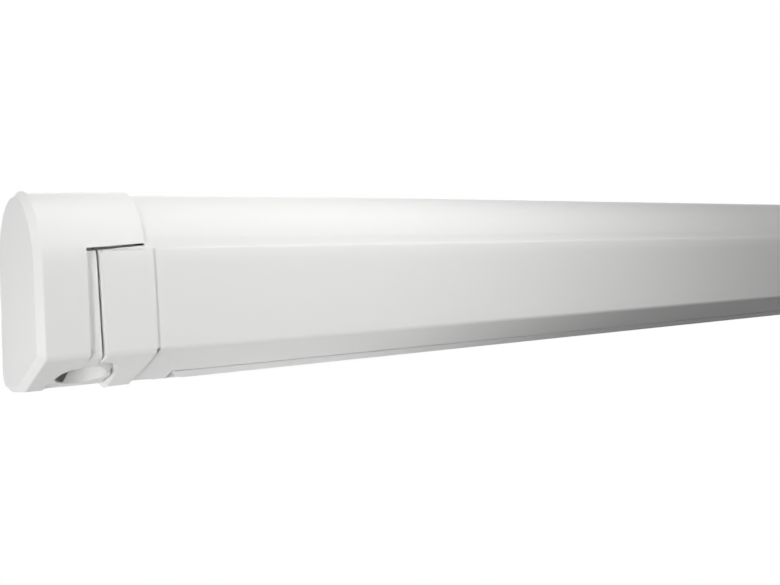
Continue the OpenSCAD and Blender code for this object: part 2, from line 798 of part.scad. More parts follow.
module front_keder() {
    piece(cloth) rod_x(-half + roll_u, half - roll_u, keder_d, cloth_z, keder_r - 2 * seat_gap);
}
module leg_pin_bore(d) { rod_d(leg_x, d - leg_w, d + leg_w, leg_z, leg_pin_r + run_fit); }
module hanger(d) {
    for (near = [d - eye_half - hanger_t, d + eye_half]) difference() {
        block(leg_x - hanger_half, leg_x + hanger_half, near, near + hanger_t,
            leg_z - leg_eye_r, roof_bottom);
        leg_pin_bore(d);
    }
}
module leg_hangers() {
    piece(grey) {
        hanger(front_lane);
        flip() hanger(rear_lane);
    }
}
module leg_pin(d) {
    reach = eye_half + hanger_t + leg_pin_over;
    rod_d(leg_x, d - reach, d + reach, leg_z, leg_pin_r);
}
module leg_pins() {
    piece(steel) {
        leg_pin(front_lane);
        flip() leg_pin(rear_lane);
    }
}

// Legs, drawn for the left side in the lane at d
module leg_box(d, x0, x1, inset) {
    corner = max(leg_corner - inset, least_corner);
    along_x(leg_x + x0, leg_x + x1)
        polygon(loop(round_box(-d, leg_z, leg_w - 2 * inset, leg_h - 2 * inset, corner), 0, coarse_step));
}
module leg_tube(d) {
    difference() {
        leg_box(d, leg_start, leg_end, 0);
        leg_box(d, leg_start - cut, leg_end + cut, leg_wall);
    }
}
module leg_eye(d) {
    width = eye_half - slide_gap;
    root = leg_x + leg_start - cut;
    difference() {
        union() {
            along_d(d - width, d + width) polygon(loop([[leg_x, leg_z, leg_eye_r],
                [root, leg_z - leg_edge, cut], [root, leg_z + leg_edge, cut]]));
            leg_box(d, leg_start - leg_lip, leg_start - seat_gap, 0);
            leg_box(d, leg_start - cut, leg_start + leg_spigot, leg_wall + seat_gap);
        }
        leg_pin_bore(d);
    }
}
module leg_collar(d) {
    foot_z = leg_z - leg_h / 2;
    difference() {
        union() {
            leg_box(d, leg_end - collar_len, leg_end + leg_lip, -collar_edge);
            for (near = [d - lug_d - lug_t, d + lug_d]) along_d(near, near + lug_t)
                polygon(loop([[hinge_x, lever_z, lever_t / 2], [hinge_x + lug_foot, foot_z, lug_edge],
                    [hinge_x - lug_foot, foot_z, lug_edge]]));
        }
        leg_box(d, leg_end - collar_len - cut, leg_end + seat_gap, -seat_gap);
        leg_box(d, leg_end - cut, leg_end + leg_lip + cut, leg_wall);
    }
    rod_d(hinge_x, d - lug_d - lug_t / 2, d + lug_d + lug_t / 2, lever_z, lever_pin_r);
}
module leg_lever(d) {
    difference() {
        along_d(d - lever_w / 2, d + lever_w / 2) polygon(loop([[hinge_x, lever_z, lever_t / 2],
            [hinge_x - lever_len, lever_z + lever_t / 2 - lever_tip, lever_tip]]));
        rod_d(hinge_x, d - leg_w, d + leg_w, lever_z, lever_pin_r + run_fit);
    }
}
module leg_inner(d) {
    difference() {
        leg_box(d, inner_start, inner_end, inner_gap);
        leg_box(d, inner_start - cut, inner_end + cut, inner_gap + leg_wall);
    }
}
module leg_foot(d) {
    leg_box(d, leg_end - foot_spigot, inner_end + cut, inner_gap + leg_wall + seat_gap);
    leg_box(d, inner_end + seat_gap, leg_end + foot_len, foot_edge);
}
module left_leg_tube() { piece(white) leg_tube(front_lane); }
module right_leg_tube() { piece(white) flip() leg_tube(rear_lane); }
module left_leg_eye() { piece(grey) leg_eye(front_lane); }
module right_leg_eye() { piece(grey) flip() leg_eye(rear_lane); }
module left_leg_collar() { piece(dark) leg_collar(front_lane); }
module right_leg_collar() { piece(dark) flip() leg_collar(rear_lane); }
module left_leg_lever() { piece(grey) leg_lever(front_lane); }
module right_leg_lever() { piece(grey) flip() leg_lever(rear_lane); }
module left_leg_inner() { piece(steel) leg_inner(front_lane); }
module right_leg_inner() { piece(steel) flip() leg_inner(rear_lane); }
module left_leg_foot() { piece(dark) leg_foot(front_lane); }
module right_leg_foot() { piece(dark) flip() leg_foot(rear_lane); }

// Fabric between the roll and the lead rail
module cloth_strip(d0, d1) {
    block(-half + roll_u, half - roll_u, d0, d1, cloth_z - fabric_t / 2, cloth_z + fabric_t / 2);
}
module fabric_sheet() { piece(cloth) cloth_strip(roll_d, hem_d - slide_gap); }
module fabric_hem() { piece(cloth) cloth_strip(hem_d, keder_d - keder_r - slide_gap); }

casing_profile();
left_end_cap();
right_end_cap();
gear_housing();
idle_housing();
wall_brackets();
bracket_screws();
left_shoulder_bracket();
right_shoulder_bracket();
shoulder_pins();
shoulder_screws();
fabric_sheet();
roller_tube();
fabric_roll();
worm_wheel();
drive_plug();
idle_plug();
worm_shaft();
crank_eye();
left_upper_tube();
left_shoulder_eye();
left_elbow_fork();
left_elbow_pin();
left_arm_spring();
left_fore_tube();
left_elbow_tongue();
left_wrist_eye();
right_upper_tube();
right_shoulder_eye();
right_elbow_fork();
right_elbow_pin();
right_arm_spring();
right_fore_tube();
right_elbow_tongue();
right_wrist_eye();
lead_rail_profile();
left_rail_cap();
right_rail_cap();
left_wrist_bracket();
right_wrist_bracket();
wrist_pins();
wrist_screws();
front_keder();
leg_hangers();
leg_pins();
left_leg_tube();
left_leg_eye();
left_leg_collar();
left_leg_lever();
left_leg_inner();
left_leg_foot();
right_leg_tube();
right_leg_eye();
right_leg_collar();
right_leg_lever();
right_leg_inner();
right_leg_foot();
fabric_hem();
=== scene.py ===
# %% [markdown]
# # A roll out awning, dressed in Blender
# The packed CAD model is the fixed frame: it says where every piece sits and which body it moves with.
# This lesson builds the looks round it, one group of pieces at a time: finishes first, then the moulded
# ends, the plain hardware, the long extrusions, the legs, the cloth, and the springs and screws.

# %% Load the frame
import json
import math

import bmesh
import bpy
from mathutils import Matrix, Quaternion, Vector
from mathutils.geometry import intersect_point_line


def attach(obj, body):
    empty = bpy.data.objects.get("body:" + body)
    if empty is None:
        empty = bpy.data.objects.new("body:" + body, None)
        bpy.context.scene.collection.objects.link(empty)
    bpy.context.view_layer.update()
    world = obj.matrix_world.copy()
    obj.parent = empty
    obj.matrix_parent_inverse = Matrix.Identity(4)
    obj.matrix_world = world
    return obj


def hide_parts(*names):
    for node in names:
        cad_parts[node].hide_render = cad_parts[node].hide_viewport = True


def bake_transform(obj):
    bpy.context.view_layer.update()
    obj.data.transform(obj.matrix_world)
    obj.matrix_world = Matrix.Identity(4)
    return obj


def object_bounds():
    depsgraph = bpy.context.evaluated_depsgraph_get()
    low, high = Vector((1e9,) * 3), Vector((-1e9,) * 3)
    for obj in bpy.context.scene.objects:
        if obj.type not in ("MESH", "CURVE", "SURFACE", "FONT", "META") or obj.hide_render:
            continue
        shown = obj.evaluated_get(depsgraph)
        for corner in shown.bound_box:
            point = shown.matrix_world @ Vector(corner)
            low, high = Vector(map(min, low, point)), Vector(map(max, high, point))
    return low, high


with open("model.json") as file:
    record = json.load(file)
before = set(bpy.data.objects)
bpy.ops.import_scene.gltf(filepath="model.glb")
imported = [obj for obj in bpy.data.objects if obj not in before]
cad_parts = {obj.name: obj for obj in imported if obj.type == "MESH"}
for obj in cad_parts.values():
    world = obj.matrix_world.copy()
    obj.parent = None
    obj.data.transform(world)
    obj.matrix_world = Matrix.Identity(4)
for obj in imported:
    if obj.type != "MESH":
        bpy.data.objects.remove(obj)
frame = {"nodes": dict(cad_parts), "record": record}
cad_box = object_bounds()
scene = bpy.context.scene
scene.view_settings.view_transform = "Standard"

# %% [markdown]
# ## Where things are
# The case was drawn as a section: a distance from the wall and a height above the case's foot, in
# millimetres. Along the case, a place is its distance from the left end face. Three small functions turn
# those drawing sizes into Blender's metres, so that the numbers below can be read beside a drawing. The
# pivots aren't written again: they are read from the frame's joints.

# %% Drawing sizes
MM = 0.001
HALF = round(cad_box[1][0], 4)
FOOT = round(cad_box[0][2], 4)
JOINTS = {joint["name"]: joint for joint in frame["record"]["behaviour"]["joints"]}


def along(u):
    """X of a place that lies u millimetres from the left end face."""
    return u * MM - HALF


def front(d):
    """Y of a place that lies d millimetres out from the wall."""
    return -d * MM


def up(z):
    """Z of a place that lies z millimetres above the case's foot."""
    return FOOT + z * MM


def pivot(joint):
    """A joint's place in drawing sizes: along the case, out from the wall, above the foot."""
    x, y, z = JOINTS[joint]["pos_m"]
    return round((x + HALF) / MM, 3), round(-y / MM, 3), round((z - FOOT) / MM, 3)


# the four roundings of the case section, as (distance from the wall, height, radius)
HEEL, DOME, CREASE, BELLY = (20, 12, 12), (54, 82, 46), (98.5, 35.5, 4.5), (48, 17, 12)
ROUNDINGS = [HEEL, DOME, CREASE, BELLY]
RIDGE_Z = 94
CRANK_U, CRANK_D, _ = pivot("crank_turn")
CRANK_R = 15
print("case", HALF * 2, "m long, crank hole", 2 * CRANK_R, "mm wide at", CRANK_U, CRANK_D)

# %% [markdown]
# ## Writing a finish as an expression
# A finish is a node tree, and a tree is slow to read. Here one small class wraps a socket, so that
# sums on sockets are written as ordinary Python and add their own Math nodes. All other nodes come from
# one method, which sets a node's options first and its inputs after.

# %% Wire and Nodes


class Wire:
    """A node's output, with arithmetic."""

    def __init__(self, nodes, socket):
        self.nodes, self.socket = nodes, socket

    def maths(self, operation, *others):
        values = dict(enumerate((self, *others)))
        return self.nodes.node("Math", {"operation": operation}, values)

    def __add__(self, other):
        return self.maths("ADD", other)

    def __sub__(self, other):
        return self.maths("SUBTRACT", other)

    def __mul__(self, other):
        return self.maths("MULTIPLY", other)

    def __rsub__(self, other):
        return self.nodes.node("Math", {"operation": "SUBTRACT"}, {0: other, 1: self})

    __radd__, __rmul__ = __add__, __mul__

    def wave(self, length):
        """A sine of this value that repeats after a length in metres, from 0 to 1."""
        return (self * (2 * math.pi / length)).maths("SINE") * 0.5 + 0.5


class Nodes:
    """A node tree, with the one method that adds nodes to it."""

    def __init__(self, tree):
        self.tree = tree

    def node(self, kind, options=None, values=None, output=0):
        made = self.tree.nodes.new("ShaderNode" + kind)
        for key, value in (options or {}).items():
            setattr(made, key, value)
        for key, value in (values or {}).items():
            self.feed(made.inputs[key], value)
        return Wire(self, made.outputs[output])

    def feed(self, socket, value):
        if isinstance(value, Wire):
            self.tree.links.new(value.socket, socket)
        elif isinstance(value, tuple) and len(value) == 3 and socket.type == "RGBA":
            socket.default_value = (*value, 1)
        else:
            socket.default_value = value


print("sums on sockets:", [name for name in vars(Wire) if name.endswith("add__")])

# %% [markdown]
# ## A material
# A material is a tree with one Principled shader. Nearly every finish needs the same few things: the place
# that is being shaded, noise of a known size, a colour between two, and a bump. They are methods here, so
# that a finish below reads as a short recipe.

# %% Finish


class Finish(Nodes):
    """One procedural material."""

    def __init__(self, name, roughness, metallic=0.0, specular=0.5):
        self.material = bpy.data.materials.new(name)
        self.material.use_nodes = True
        super().__init__(self.material.node_tree)
        self.shader = self.tree.nodes["Principled BSDF"]
        self.shader.inputs["Roughness"].default_value = roughness
        self.shader.inputs["Metallic"].default_value = metallic
        self.shader.inputs["Specular IOR Level"].default_value = specular

    def place(self, source="Object"):
        """The point being shaded, whole and as its three numbers."""
        coordinates = self.node("TexCoord", output=source)
        split = self.node("SeparateXYZ", None, {0: coordinates}).socket.node
        return coordinates, [Wire(self, out) for out in split.outputs]

    def grain(self, coordinates, size, detail=2.0, stretch=(1, 1, 1)):
        """Noise whose lumps are about size metres across."""
        mapped = self.node("Mapping", None, {"Vector": coordinates, "Scale": stretch})
        values = {"Vector": mapped, "Scale": 1 / size, "Detail": detail}
        return self.node("TexNoise", None, values)

    def vary(self, mean, *parts):
        """A value that swings about its mean with noise, given as (noise, swing)."""
        total = mean - sum(swing for _, swing in parts) / 2
        for noise, swing in parts:
            total = noise * swing + total
        return total

    def blend(self, share, low, high):
        """A colour between two."""
        return self.node("Mix", {"data_type": "RGBA"}, {0: share, 6: low, 7: high}, output=2)

    def bump(self, height, depth):
        values = {"Height": height, "Distance": depth, "Strength": 1.0}
        self.feed(self.shader.inputs["Normal"], self.node("Bump", None, values))

    def paint(self, **sockets):
        for name, value in sockets.items():
            self.feed(self.shader.inputs[name.replace("_", " ")], value)
        return self.material


print("finish has", [name for name in vars(Finish) if not name.startswith("_")])

# %% [markdown]
# ## Paint and plastic
# The extrusions are powder coated: a satin white whose skin has a very fine orange peel. The ends are
# moulded plastic of nearly the same white, with the finer, duller grain of a spark eroded tool. The two
# whites differ only in grain and gloss, so both are made by one function, and so are the dark mouldings.

# %% White finishes
CLOUD_SIZE = 0.09


def satin(name, tint, grain_size, depth, roughness, cloudiness=0.015, specular=0.22):
    """Paint or plastic: one tint with faint clouds, and a fine grain in gloss and surface."""
    finish = Finish(name, roughness, 0.0, specular)
    coordinates, _ = finish.place()
    clouds = finish.grain(coordinates, CLOUD_SIZE, 3)
    grain = finish.grain(coordinates, grain_size, 2)
    darker = tuple(level - cloudiness for level in tint)
    finish.bump(grain, depth)
    return finish.paint(
        Base_Color=finish.blend(clouds, darker, tint),
        Roughness=finish.vary(roughness, (grain, 0.1), (clouds, 0.06)),
    )


POWDER = satin("powder_white", (0.87, 0.87, 0.862), 0.0011, 0.000012, 0.42, specular=0.03)
MOULDED = satin("cap_white", (0.865, 0.865, 0.857), 0.0005, 0.000012, 0.42)
ARM_PAINT = satin("arm_white", (0.85, 0.85, 0.842), 0.0013, 0.00002, 0.42, specular=0.03)
CASTING = satin("cast_grey", (0.58, 0.59, 0.60), 0.0016, 0.00009, 0.46, 0.05)
NYLON = satin("drive_black", (0.085, 0.085, 0.09), 0.0006, 0.00003, 0.5, 0.03)
COLLAR = satin("collar_grey", (0.24, 0.25, 0.26), 0.0006, 0.00004, 0.52, 0.03)
RUBBER = satin("foot_rubber", (0.06, 0.06, 0.06), 0.0009, 0.00008, 0.8, 0.02)
print("satin finishes:", [m.name for m in (POWDER, MOULDED, ARM_PAINT, CASTING, NYLON, COLLAR, RUBBER)])

# %% [markdown]
# ## Bare metal
# Bare metal takes its look from the tool that made it. Drawn aluminium has long fine lines, so its noise
# is stretched along the case. Zinc plate has soft patches from the bath, and turned steel a fine scratch.

# %% Metal finishes
LINE_DEPTH, DULLING = 0.00002, 0.82


def bare_metal(name, tint, roughness, stretch, line_size, patch_size):
    """Metal with drawn lines and faint patches."""
    finish = Finish(name, roughness, 1.0)
    coordinates, _ = finish.place()
    lines = finish.grain(coordinates, line_size, 3, stretch)
    patches = finish.grain(coordinates, patch_size, 2)
    duller = tuple(level * DULLING for level in tint)
    finish.bump(lines, LINE_DEPTH)
    return finish.paint(
        Base_Color=finish.blend(patches, duller, tint),
        Roughness=finish.vary(roughness, (lines, 0.16), (patches, 0.1)),
    )


DRAWN = bare_metal("raw_aluminium", (0.72, 0.73, 0.74), 0.36, (0.02, 1, 1), 0.0012, 0.05)
ZINC = bare_metal("zinc_steel", (0.66, 0.67, 0.68), 0.44, (1, 1, 0.25), 0.002, 0.008)
TURNED = bare_metal("screw_steel", (0.70, 0.71, 0.72), 0.32, (1, 1, 6), 0.0008, 0.004)
print("metal finishes:", [m.name for m in (DRAWN, ZINC, TURNED)])

# %% [markdown]
# ## Awning cloth
# The cloth is a close plain weave of coated polyester. Two sines across each other give the over and
# under of the threads, and slow noise along each thread gives yarn that varies. The roll carries its own
# UV map, in metres, so the weave follows it round. The free stretch and the hem read the place in space
# instead, so that their weave keeps its scale.

# %% Cloth finish
THREAD, YARN, FADE = 0.0012, 0.004, 0.25
WEAVE_DEPTH = 0.00012


def woven(name, source):
    """Plain weave, read from a UV map in metres or from the place in space."""
    finish = Finish(name, 0.86)
    coordinates, (across, down, _) = finish.place(source)
    over = across.wave(THREAD)
    under = down.wave(THREAD)
    weave = over * under + (1 - over) * (1 - under)
    yarn = finish.grain(coordinates, YARN, 2, (1, 0.08, 1))
    fade = finish.grain(coordinates, FADE, 2)
    finish.bump(weave, WEAVE_DEPTH)
    shade = weave * 0.35 + yarn * 0.4 + fade * 0.25
    return finish.paint(
        Base_Color=finish.blend(shade, (0.36, 0.375, 0.395), (0.53, 0.55, 0.575)),
        Roughness=0.92 - weave * 0.12,
    )


CLOTH = woven("awning_cloth", "Object")
ROLLED_CLOTH = woven("awning_cloth_rolled", "UV")
print("cloth finishes with a thread of", THREAD / MM, "mm")

# %% [markdown]
# ## From bmesh to piece
# Each piece is modelled in a bmesh. This cell turns a finished bmesh into an object that rides on its
# CAD body and stands for a CAD node. Faces are smooth, and weighted normals keep the broad faces flat and
# let only the rounded edges turn, as on a moulding.

# %% Making a piece
SHARP_ANGLE = 40


def add_object(name, bm, material, sharp=SHARP_ANGLE):
    """An object from a bmesh, which is used up. It is smooth, but for edges that turn more than sharp."""
    mesh = bpy.data.meshes.new(name)
    bm.to_mesh(mesh)
    bm.free()
    mesh.shade_smooth()
    mesh.set_sharp_from_angle(angle=math.radians(sharp))
    mesh.materials.append(material)
    made = bpy.data.objects.new(name, mesh)
    scene.collection.objects.link(made)
    return made


def make_piece(name, bm, material, body, node, sharp=SHARP_ANGLE):
    """A piece that rides on a body in place of a CAD node."""
    piece = add_object(name, bm, material, sharp)
    piece.modifiers.new("flat_faces", "WEIGHTED_NORMAL").keep_sharp = True
    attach(piece, body)
    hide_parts(node)
    print(name, len(piece.data.polygons), "faces on", body)


print("pieces are smooth up to", SHARP_ANGLE, "degrees")

# %% [markdown]
# ## Rounding and cutting
# A real edge is never razor sharp, so sharp edges are rounded with a bevel, and a test can pick which ones.
# Notches and holes are cut with Booleans, as a mould's inserts or a saw would. A Boolean leaves needless
# edges on flat faces, and these are joined again before any edge is rounded.

# %% Rounding and cutting
ANY_EDGE, CUT_EDGE = 35, 50
JOIN_GAP, FLAT_ANGLE = 0.004, 0.8


def round_edges(bm, radius, segments=2, where=None, angle=CUT_EDGE, clamp=True):
    """Rounds the edges that turn more than an angle, all of them or those that a test picks."""
    sharp = [
        edge
        for edge in bm.edges
        if len(edge.link_faces) == 2
        and edge.calc_face_angle(0) > math.radians(angle)
        and (where is None or where(edge))
    ]
    if sharp:
        bmesh.ops.bevel(
            bm, geom=sharp, offset=radius * MM, segments=segments, profile=0.5,
            affect="EDGES", clamp_overlap=clamp, material=-1,
        )
    return len(sharp)


def carve(bm, tool, operation="DIFFERENCE"):
    """A Boolean of two closed shapes. Both are used up, and the result is a new bmesh."""
    pair = []
    for shape in (bm, tool):
        mesh = bpy.data.meshes.new("carving")
        shape.to_mesh(mesh)
        shape.free()
        pair.append(bpy.data.objects.new("carving", mesh))
        scene.collection.objects.link(pair[-1])
    cut = pair[0].modifiers.new("cut", "BOOLEAN")
    cut.operation, cut.solver, cut.object = operation, "EXACT", pair[1]
    made = bmesh.new()
    made.from_object(pair[0], bpy.context.evaluated_depsgraph_get())
    for shape in pair:
        bpy.data.meshes.remove(shape.data)
    return made


def tidy_faces(bm):
    """Joins the flat neighbours that a Boolean or a CAD mesh leaves."""
    bmesh.ops.remove_doubles(bm, verts=bm.verts, dist=JOIN_GAP * MM)
    bmesh.ops.dissolve_limit(
        bm, angle_limit=math.radians(FLAT_ANGLE), verts=bm.verts, edges=bm.edges
    )


def flip_side(bm):
    """Turns a piece for the left end into the one for the right end."""
    bmesh.ops.transform(bm, matrix=Matrix.Scale(-1, 4, (1, 0, 0)), verts=bm.verts)
    bmesh.ops.reverse_faces(bm, faces=bm.faces)


print("edges are rounded past", ANY_EDGE, "or", CUT_EDGE, "degrees")

# %% [markdown]
# ## The outline of the case
# Casing, end caps and rail share one outline: four roundings joined by straight tangents. Spin sweeps a
# single vertex round each rounding's centre, and an edge joins each arc to the next. An inset draws the
# whole outline in, because it only makes the four radii smaller.

# %% Outline


def only(geom, kind):
    """The vertices, edges or faces among what an operator gave back."""
    return [g for g in geom if isinstance(g, kind)]


def tangent_angle(a, b):
    """The direction in which the line that touches two roundings faces."""
    ahead, rise = a[0] - b[0], b[1] - a[1]
    return math.atan2(rise, ahead) - math.acos((a[2] - b[2]) / math.hypot(ahead, rise))


def outline(bm, u, inset, rounds=ROUNDINGS, step=5):
    """A closed loop of edges round the section, u millimetres from the end face."""
    before = set(bm.edges)
    first = last = None
    for i, (d, z, r) in enumerate(rounds):
        start = tangent_angle(rounds[i - 1], rounds[i])
        turn = (tangent_angle(rounds[i], rounds[(i + 1) % len(rounds)]) - start) % math.tau
        centre = Vector((along(u), front(d), up(z)))
        arm = Vector((0, math.cos(start), math.sin(start))) * (r - inset) * MM
        begin = bm.verts.new(centre + arm)
        if last:
            bm.edges.new((last, begin))
        first = first or begin
        swept = bmesh.ops.spin(
            bm, geom=[begin], cent=centre, axis=(1, 0, 0), angle=turn,
            steps=math.ceil(math.degrees(turn) / step),
        )
        last = only(swept["geom_last"], bmesh.types.BMVert)[0]
    bm.edges.new((last, first))
    return [edge for edge in bm.edges if edge not in before]


def loft(profile, rounds=ROUNDINGS):
    """A closed solid through outlines, given as (distance from the end face, inset)."""
    bm = bmesh.new()
    for near, far in zip(profile, profile[1:]):
        bmesh.ops.bridge_loops(bm, edges=outline(bm, *near, rounds) + outline(bm, *far, rounds))
    bmesh.ops.remove_doubles(bm, verts=bm.verts, dist=0.001 * MM)
    bmesh.ops.holes_fill(bm, edges=[edge for edge in bm.edges if edge.is_boundary])
    bmesh.ops.recalc_face_normals(bm, faces=bm.faces)
    return bm


skin = bmesh.new()
outline(skin, 0, 0)
SKIN = [tuple(v.co.yz for v in edge.verts) for edge in skin.edges]
skin.free()
print("outline has", len(SKIN), "edges")

# %% [markdown]
# ## How far from the skin
# Many cuts and roundings only concern the outside. The nearest point of the outline tells whether a vertex
# lies on the skin, and which way is out. That is more dependable than picking faces by number.

# %% Distance to the skin
ON_SKIN = 0.15


def skin_foot(point):
    """The nearest point of the case's outline, in the plane of the section."""
    flat = point.yz
    feet = []
    for a, b in SKIN:
        nearest, share = intersect_point_line(flat, a, b)
        feet.append(a if share < 0 else b if share > 1 else nearest)
    return min(feet, key=lambda foot: (flat - foot).length)


def skin_depth(point):
    """How far a point lies from the case's outline, in millimetres."""
    return (point.yz - skin_foot(point)).length / MM


def on_skin(edge):
    return all(skin_depth(v.co) < ON_SKIN for v in edge.verts)


print("a vertex within", ON_SKIN, "mm of the outline lies on the skin")

# %% [markdown]
# ## Blocks to cut with
# A mould gets its notches and holes from plain inserts. Here they are blocks and round bars, given in
# drawing sizes. A block is a flat shape that is pushed straight on: up, along the case, or out from the
# wall. Extruding one face says that more plainly than a cube that is scaled and moved.

# %% Blocks
BELOW, ABOVE, FAR_OUT = -30, 120, 140
BAR_SIDES = 96


def prism(corners, push):
    """A closed block: a flat shape of corners, pushed straight on."""
    bm = bmesh.new()
    face = bm.faces.new([bm.verts.new(corner) for corner in corners])
    made = bmesh.ops.extrude_face_region(bm, geom=[face])["geom"]
    bmesh.ops.translate(bm, vec=push, verts=only(made, bmesh.types.BMVert))
    bmesh.ops.recalc_face_normals(bm, faces=bm.faces)
    return bm


def block_up(plan, z0, z1):
    """A block with a plan of (place along, distance from the wall), between two heights."""
    return prism([(along(u), front(d), up(z0)) for u, d in plan], (0, 0, up(z1) - up(z0)))


def block_along(side, u0, u1):
    """A block with a side view of (distance from the wall, height), between two places along."""
    return prism([(along(u0), front(d), up(z)) for d, z in side], ((u1 - u0) * MM, 0, 0))


def block_out(face, d0, d1):
    """A block with a front view of (place along, height), between two distances from the wall."""
    return prism([(along(u), front(d0), up(z)) for u, z in face], (0, -(d1 - d0) * MM, 0))


def box(u0, u1, d0, d1, z0=BELOW, z1=ABOVE):
    return block_up([(u0, d0), (u1, d0), (u1, d1), (u0, d1)], z0, z1)


def round_bar(place, low_r, high_r, length):
    """A bar or cone with its middle at a place."""
    bm = bmesh.new()
    bmesh.ops.create_cone(
        bm, cap_ends=True, segments=BAR_SIDES, radius1=low_r * MM, radius2=high_r * MM,
        depth=length * MM, matrix=place,
    )
    return bm


def crank_bar(radius, z0, z1):
    """A round bar that stands on the crank's axis."""
    place = Matrix.Translation((along(CRANK_U), front(CRANK_D), up((z0 + z1) / 2)))
    return round_bar(place, radius, radius, z1 - z0)


print("cuts reach from", BELOW, "to", ABOVE, "mm over the foot and", FAR_OUT, "mm out")

# %% [markdown]
# ## The shell of an end cap
# Each cap is one moulding: a flat end, a 45 degree chamfer with softened edges, and a skirt that laps over
# the casing. Lofting through outlines gives the whole shell at once, rounded edges included. The notch
# under the skirt makes room for the lead rail's cap, and its top rises a little away from the end.

# %% Cap shell and notch
CHAMFER, SKIRT_U, SKIRT_ROUND = 4, 64, 0.8
END_WALL, CAP_WALL, LAP_WALL, LAP_U = 3, 3.1, 1.85, 34.8
NOTCH_U, WING_U, SHELF_D = 29, 50.5, 23.5
NOTCH_Z, NOTCH_RISE = 95.7, 2.1


def eased(a, b, c, count=4):
    """Points on the smooth corner from a to c that has its tip at b."""
    share = [i / count for i in range(count + 1)]
    return [
        tuple((1 - t) ** 2 * p + 2 * t * (1 - t) * q + t * t * r for p, q, r in zip(a, b, c))
        for t in share
    ]


CAP_OUTER = [
    *eased((0, CHAMFER + 0.35), (0, CHAMFER), (0.25, CHAMFER - 0.25)),
    *eased((CHAMFER - 0.5, 0.5), (CHAMFER, 0), (CHAMFER + 0.7, 0)),
    *eased((SKIRT_U - SKIRT_ROUND, 0), (SKIRT_U, 0), (SKIRT_U, SKIRT_ROUND)),
]
PAST_SKIRT = SKIRT_U + 4
CAP_HOLLOW = [(END_WALL, CAP_WALL), (LAP_U, CAP_WALL), (LAP_U, LAP_WALL), (PAST_SKIRT, LAP_WALL)]


def notch_cutter(with_crank):
    """The block that the lead rail's cap needs, with its top rising away from the end."""
    plan = [(NOTCH_U, FAR_OUT), (NOTCH_U, SHELF_D), (PAST_SKIRT, SHELF_D), (PAST_SKIRT, FAR_OUT)]
    if with_crank:
        plan[1:2] = [(NOTCH_U, CRANK_D), (WING_U, CRANK_D), (WING_U, SHELF_D)]
    bm = block_up(plan, BELOW, NOTCH_Z)
    for v in bm.verts:
        if v.co.z > up(0):
            v.co.z += (v.co.x - along(NOTCH_U)) / (SKIRT_U - NOTCH_U) * NOTCH_RISE
    return bm


print("cap skirt", SKIRT_U, "mm long, lofted through", len(CAP_OUTER), "outlines")

# %% [markdown]
# ## Round the crank hole
# Under the left cap a hole takes the crank rod. A collar lines it, a thin layer is stepped off behind it, and
# a slit ends that step. Beside the hole a pocket leaves a dark corner. Each is a plain block or bar that is
# joined or cut, because their edges meet the sloped bevel at angles that no extrusion follows.

# %% Crank hole
STEP_U, STEP_D, STEP_FOOT = 15, 66, -20
SLIT_HALF, SLIT_NEAR, SLIT_FAR, SLIT_TOP = 0.5, 46, 61.5, 14
COLLAR_WALL, COLLAR_TOP = 2.2, 48.5
POCKET_IN, POCKET_NEAR, POCKET_FAR = 1.9, 48, 72
POCKET = [(11, 7), (22.5, 7), (33, 22), (33, 26), (11, 26)]


def crank_rim(edge):
    """Whether an edge lies on the rim of the crank hole."""
    axis = Vector((along(CRANK_U), front(CRANK_D)))
    return all((v.co.xy - axis).length < (CRANK_R + 0.1) * MM for v in edge.verts)


def step_cutter():
    """The thin layer that is taken off the cap's underside, behind the crank hole."""
    side = [
        (STEP_D + 4, STEP_FOOT), (STEP_D, 13.0), (60, 11.06), (53.1, 7.39), (51.6, 6.7), (49.9, 6.27),
        (21.9, 1.27), (HEEL[0], 1.1), (HEEL[0], STEP_FOOT),
    ]
    return block_along(side, STEP_U, STEP_U + SKIRT_U)


def pocket():
    """The dark recess at the left of the crank hole, with a leaning edge, kept inside the skin."""
    bm = block_out(POCKET, POCKET_NEAR, POCKET_FAR)
    return carve(bm, loft([(3, POCKET_IN), (SKIRT_U, POCKET_IN)]), "INTERSECT")


def add_collar(bm):
    """Joins the collar's bar to the shell, kept inside the skin."""
    bar = crank_bar(CRANK_R + COLLAR_WALL, BELOW, COLLAR_TOP)
    return carve(bm, carve(bar, loft([(2, 1), (SKIRT_U, 1)]), "INTERSECT"), "UNION")


def cut_crank_hole(bm):
    """Bores the hole and cuts the step, its slit and the pocket."""
    bm = carve(carve(bm, crank_bar(CRANK_R, BELOW, COLLAR_TOP + 1)), step_cutter())
    bm = carve(bm, box(STEP_U - SLIT_HALF, STEP_U + SLIT_HALF, SLIT_NEAR, SLIT_FAR, BELOW, SLIT_TOP))
    return carve(bm, pocket())


print("collar", COLLAR_WALL, "mm thick, pocket", POCKET_FAR - POCKET_NEAR, "mm deep")

# %% [markdown]
# ## The two end caps
# The left cap has the crank hole, and the right one is its mirror image without it. Each cut leaves sharp
# edges on the skin, and these get a small round, smaller at the hole's rim. Last, the crown of the skirt is
# lifted by up to two millimetres, because a moulded skirt stands a little proud of what it laps over.

# %% End caps
FLARE, FLARE_U, FLARE_OVER, FLARE_HEIGHT, FLARE_SKIN = 1.8, 20, 40, 32, 1.2
CAP_ROUND, RIM_ROUND = 0.55, 0.3


def held(share):
    """A share that is kept between 0 and 1."""
    return min(max(share, 0), 1)


def flare(bm):
    """Lifts the crown of the skirt a little, so that it stands over the casing."""
    for v in bm.verts:
        crown = max((v.co.z - up(NOTCH_Z)) / (FLARE_HEIGHT * MM), 0)
        share = held((v.co.x - along(FLARE_U)) / (FLARE_OVER * MM))
        if crown and share and skin_depth(v.co) < FLARE_SKIN:
            v.co.z += FLARE * MM * crown * share


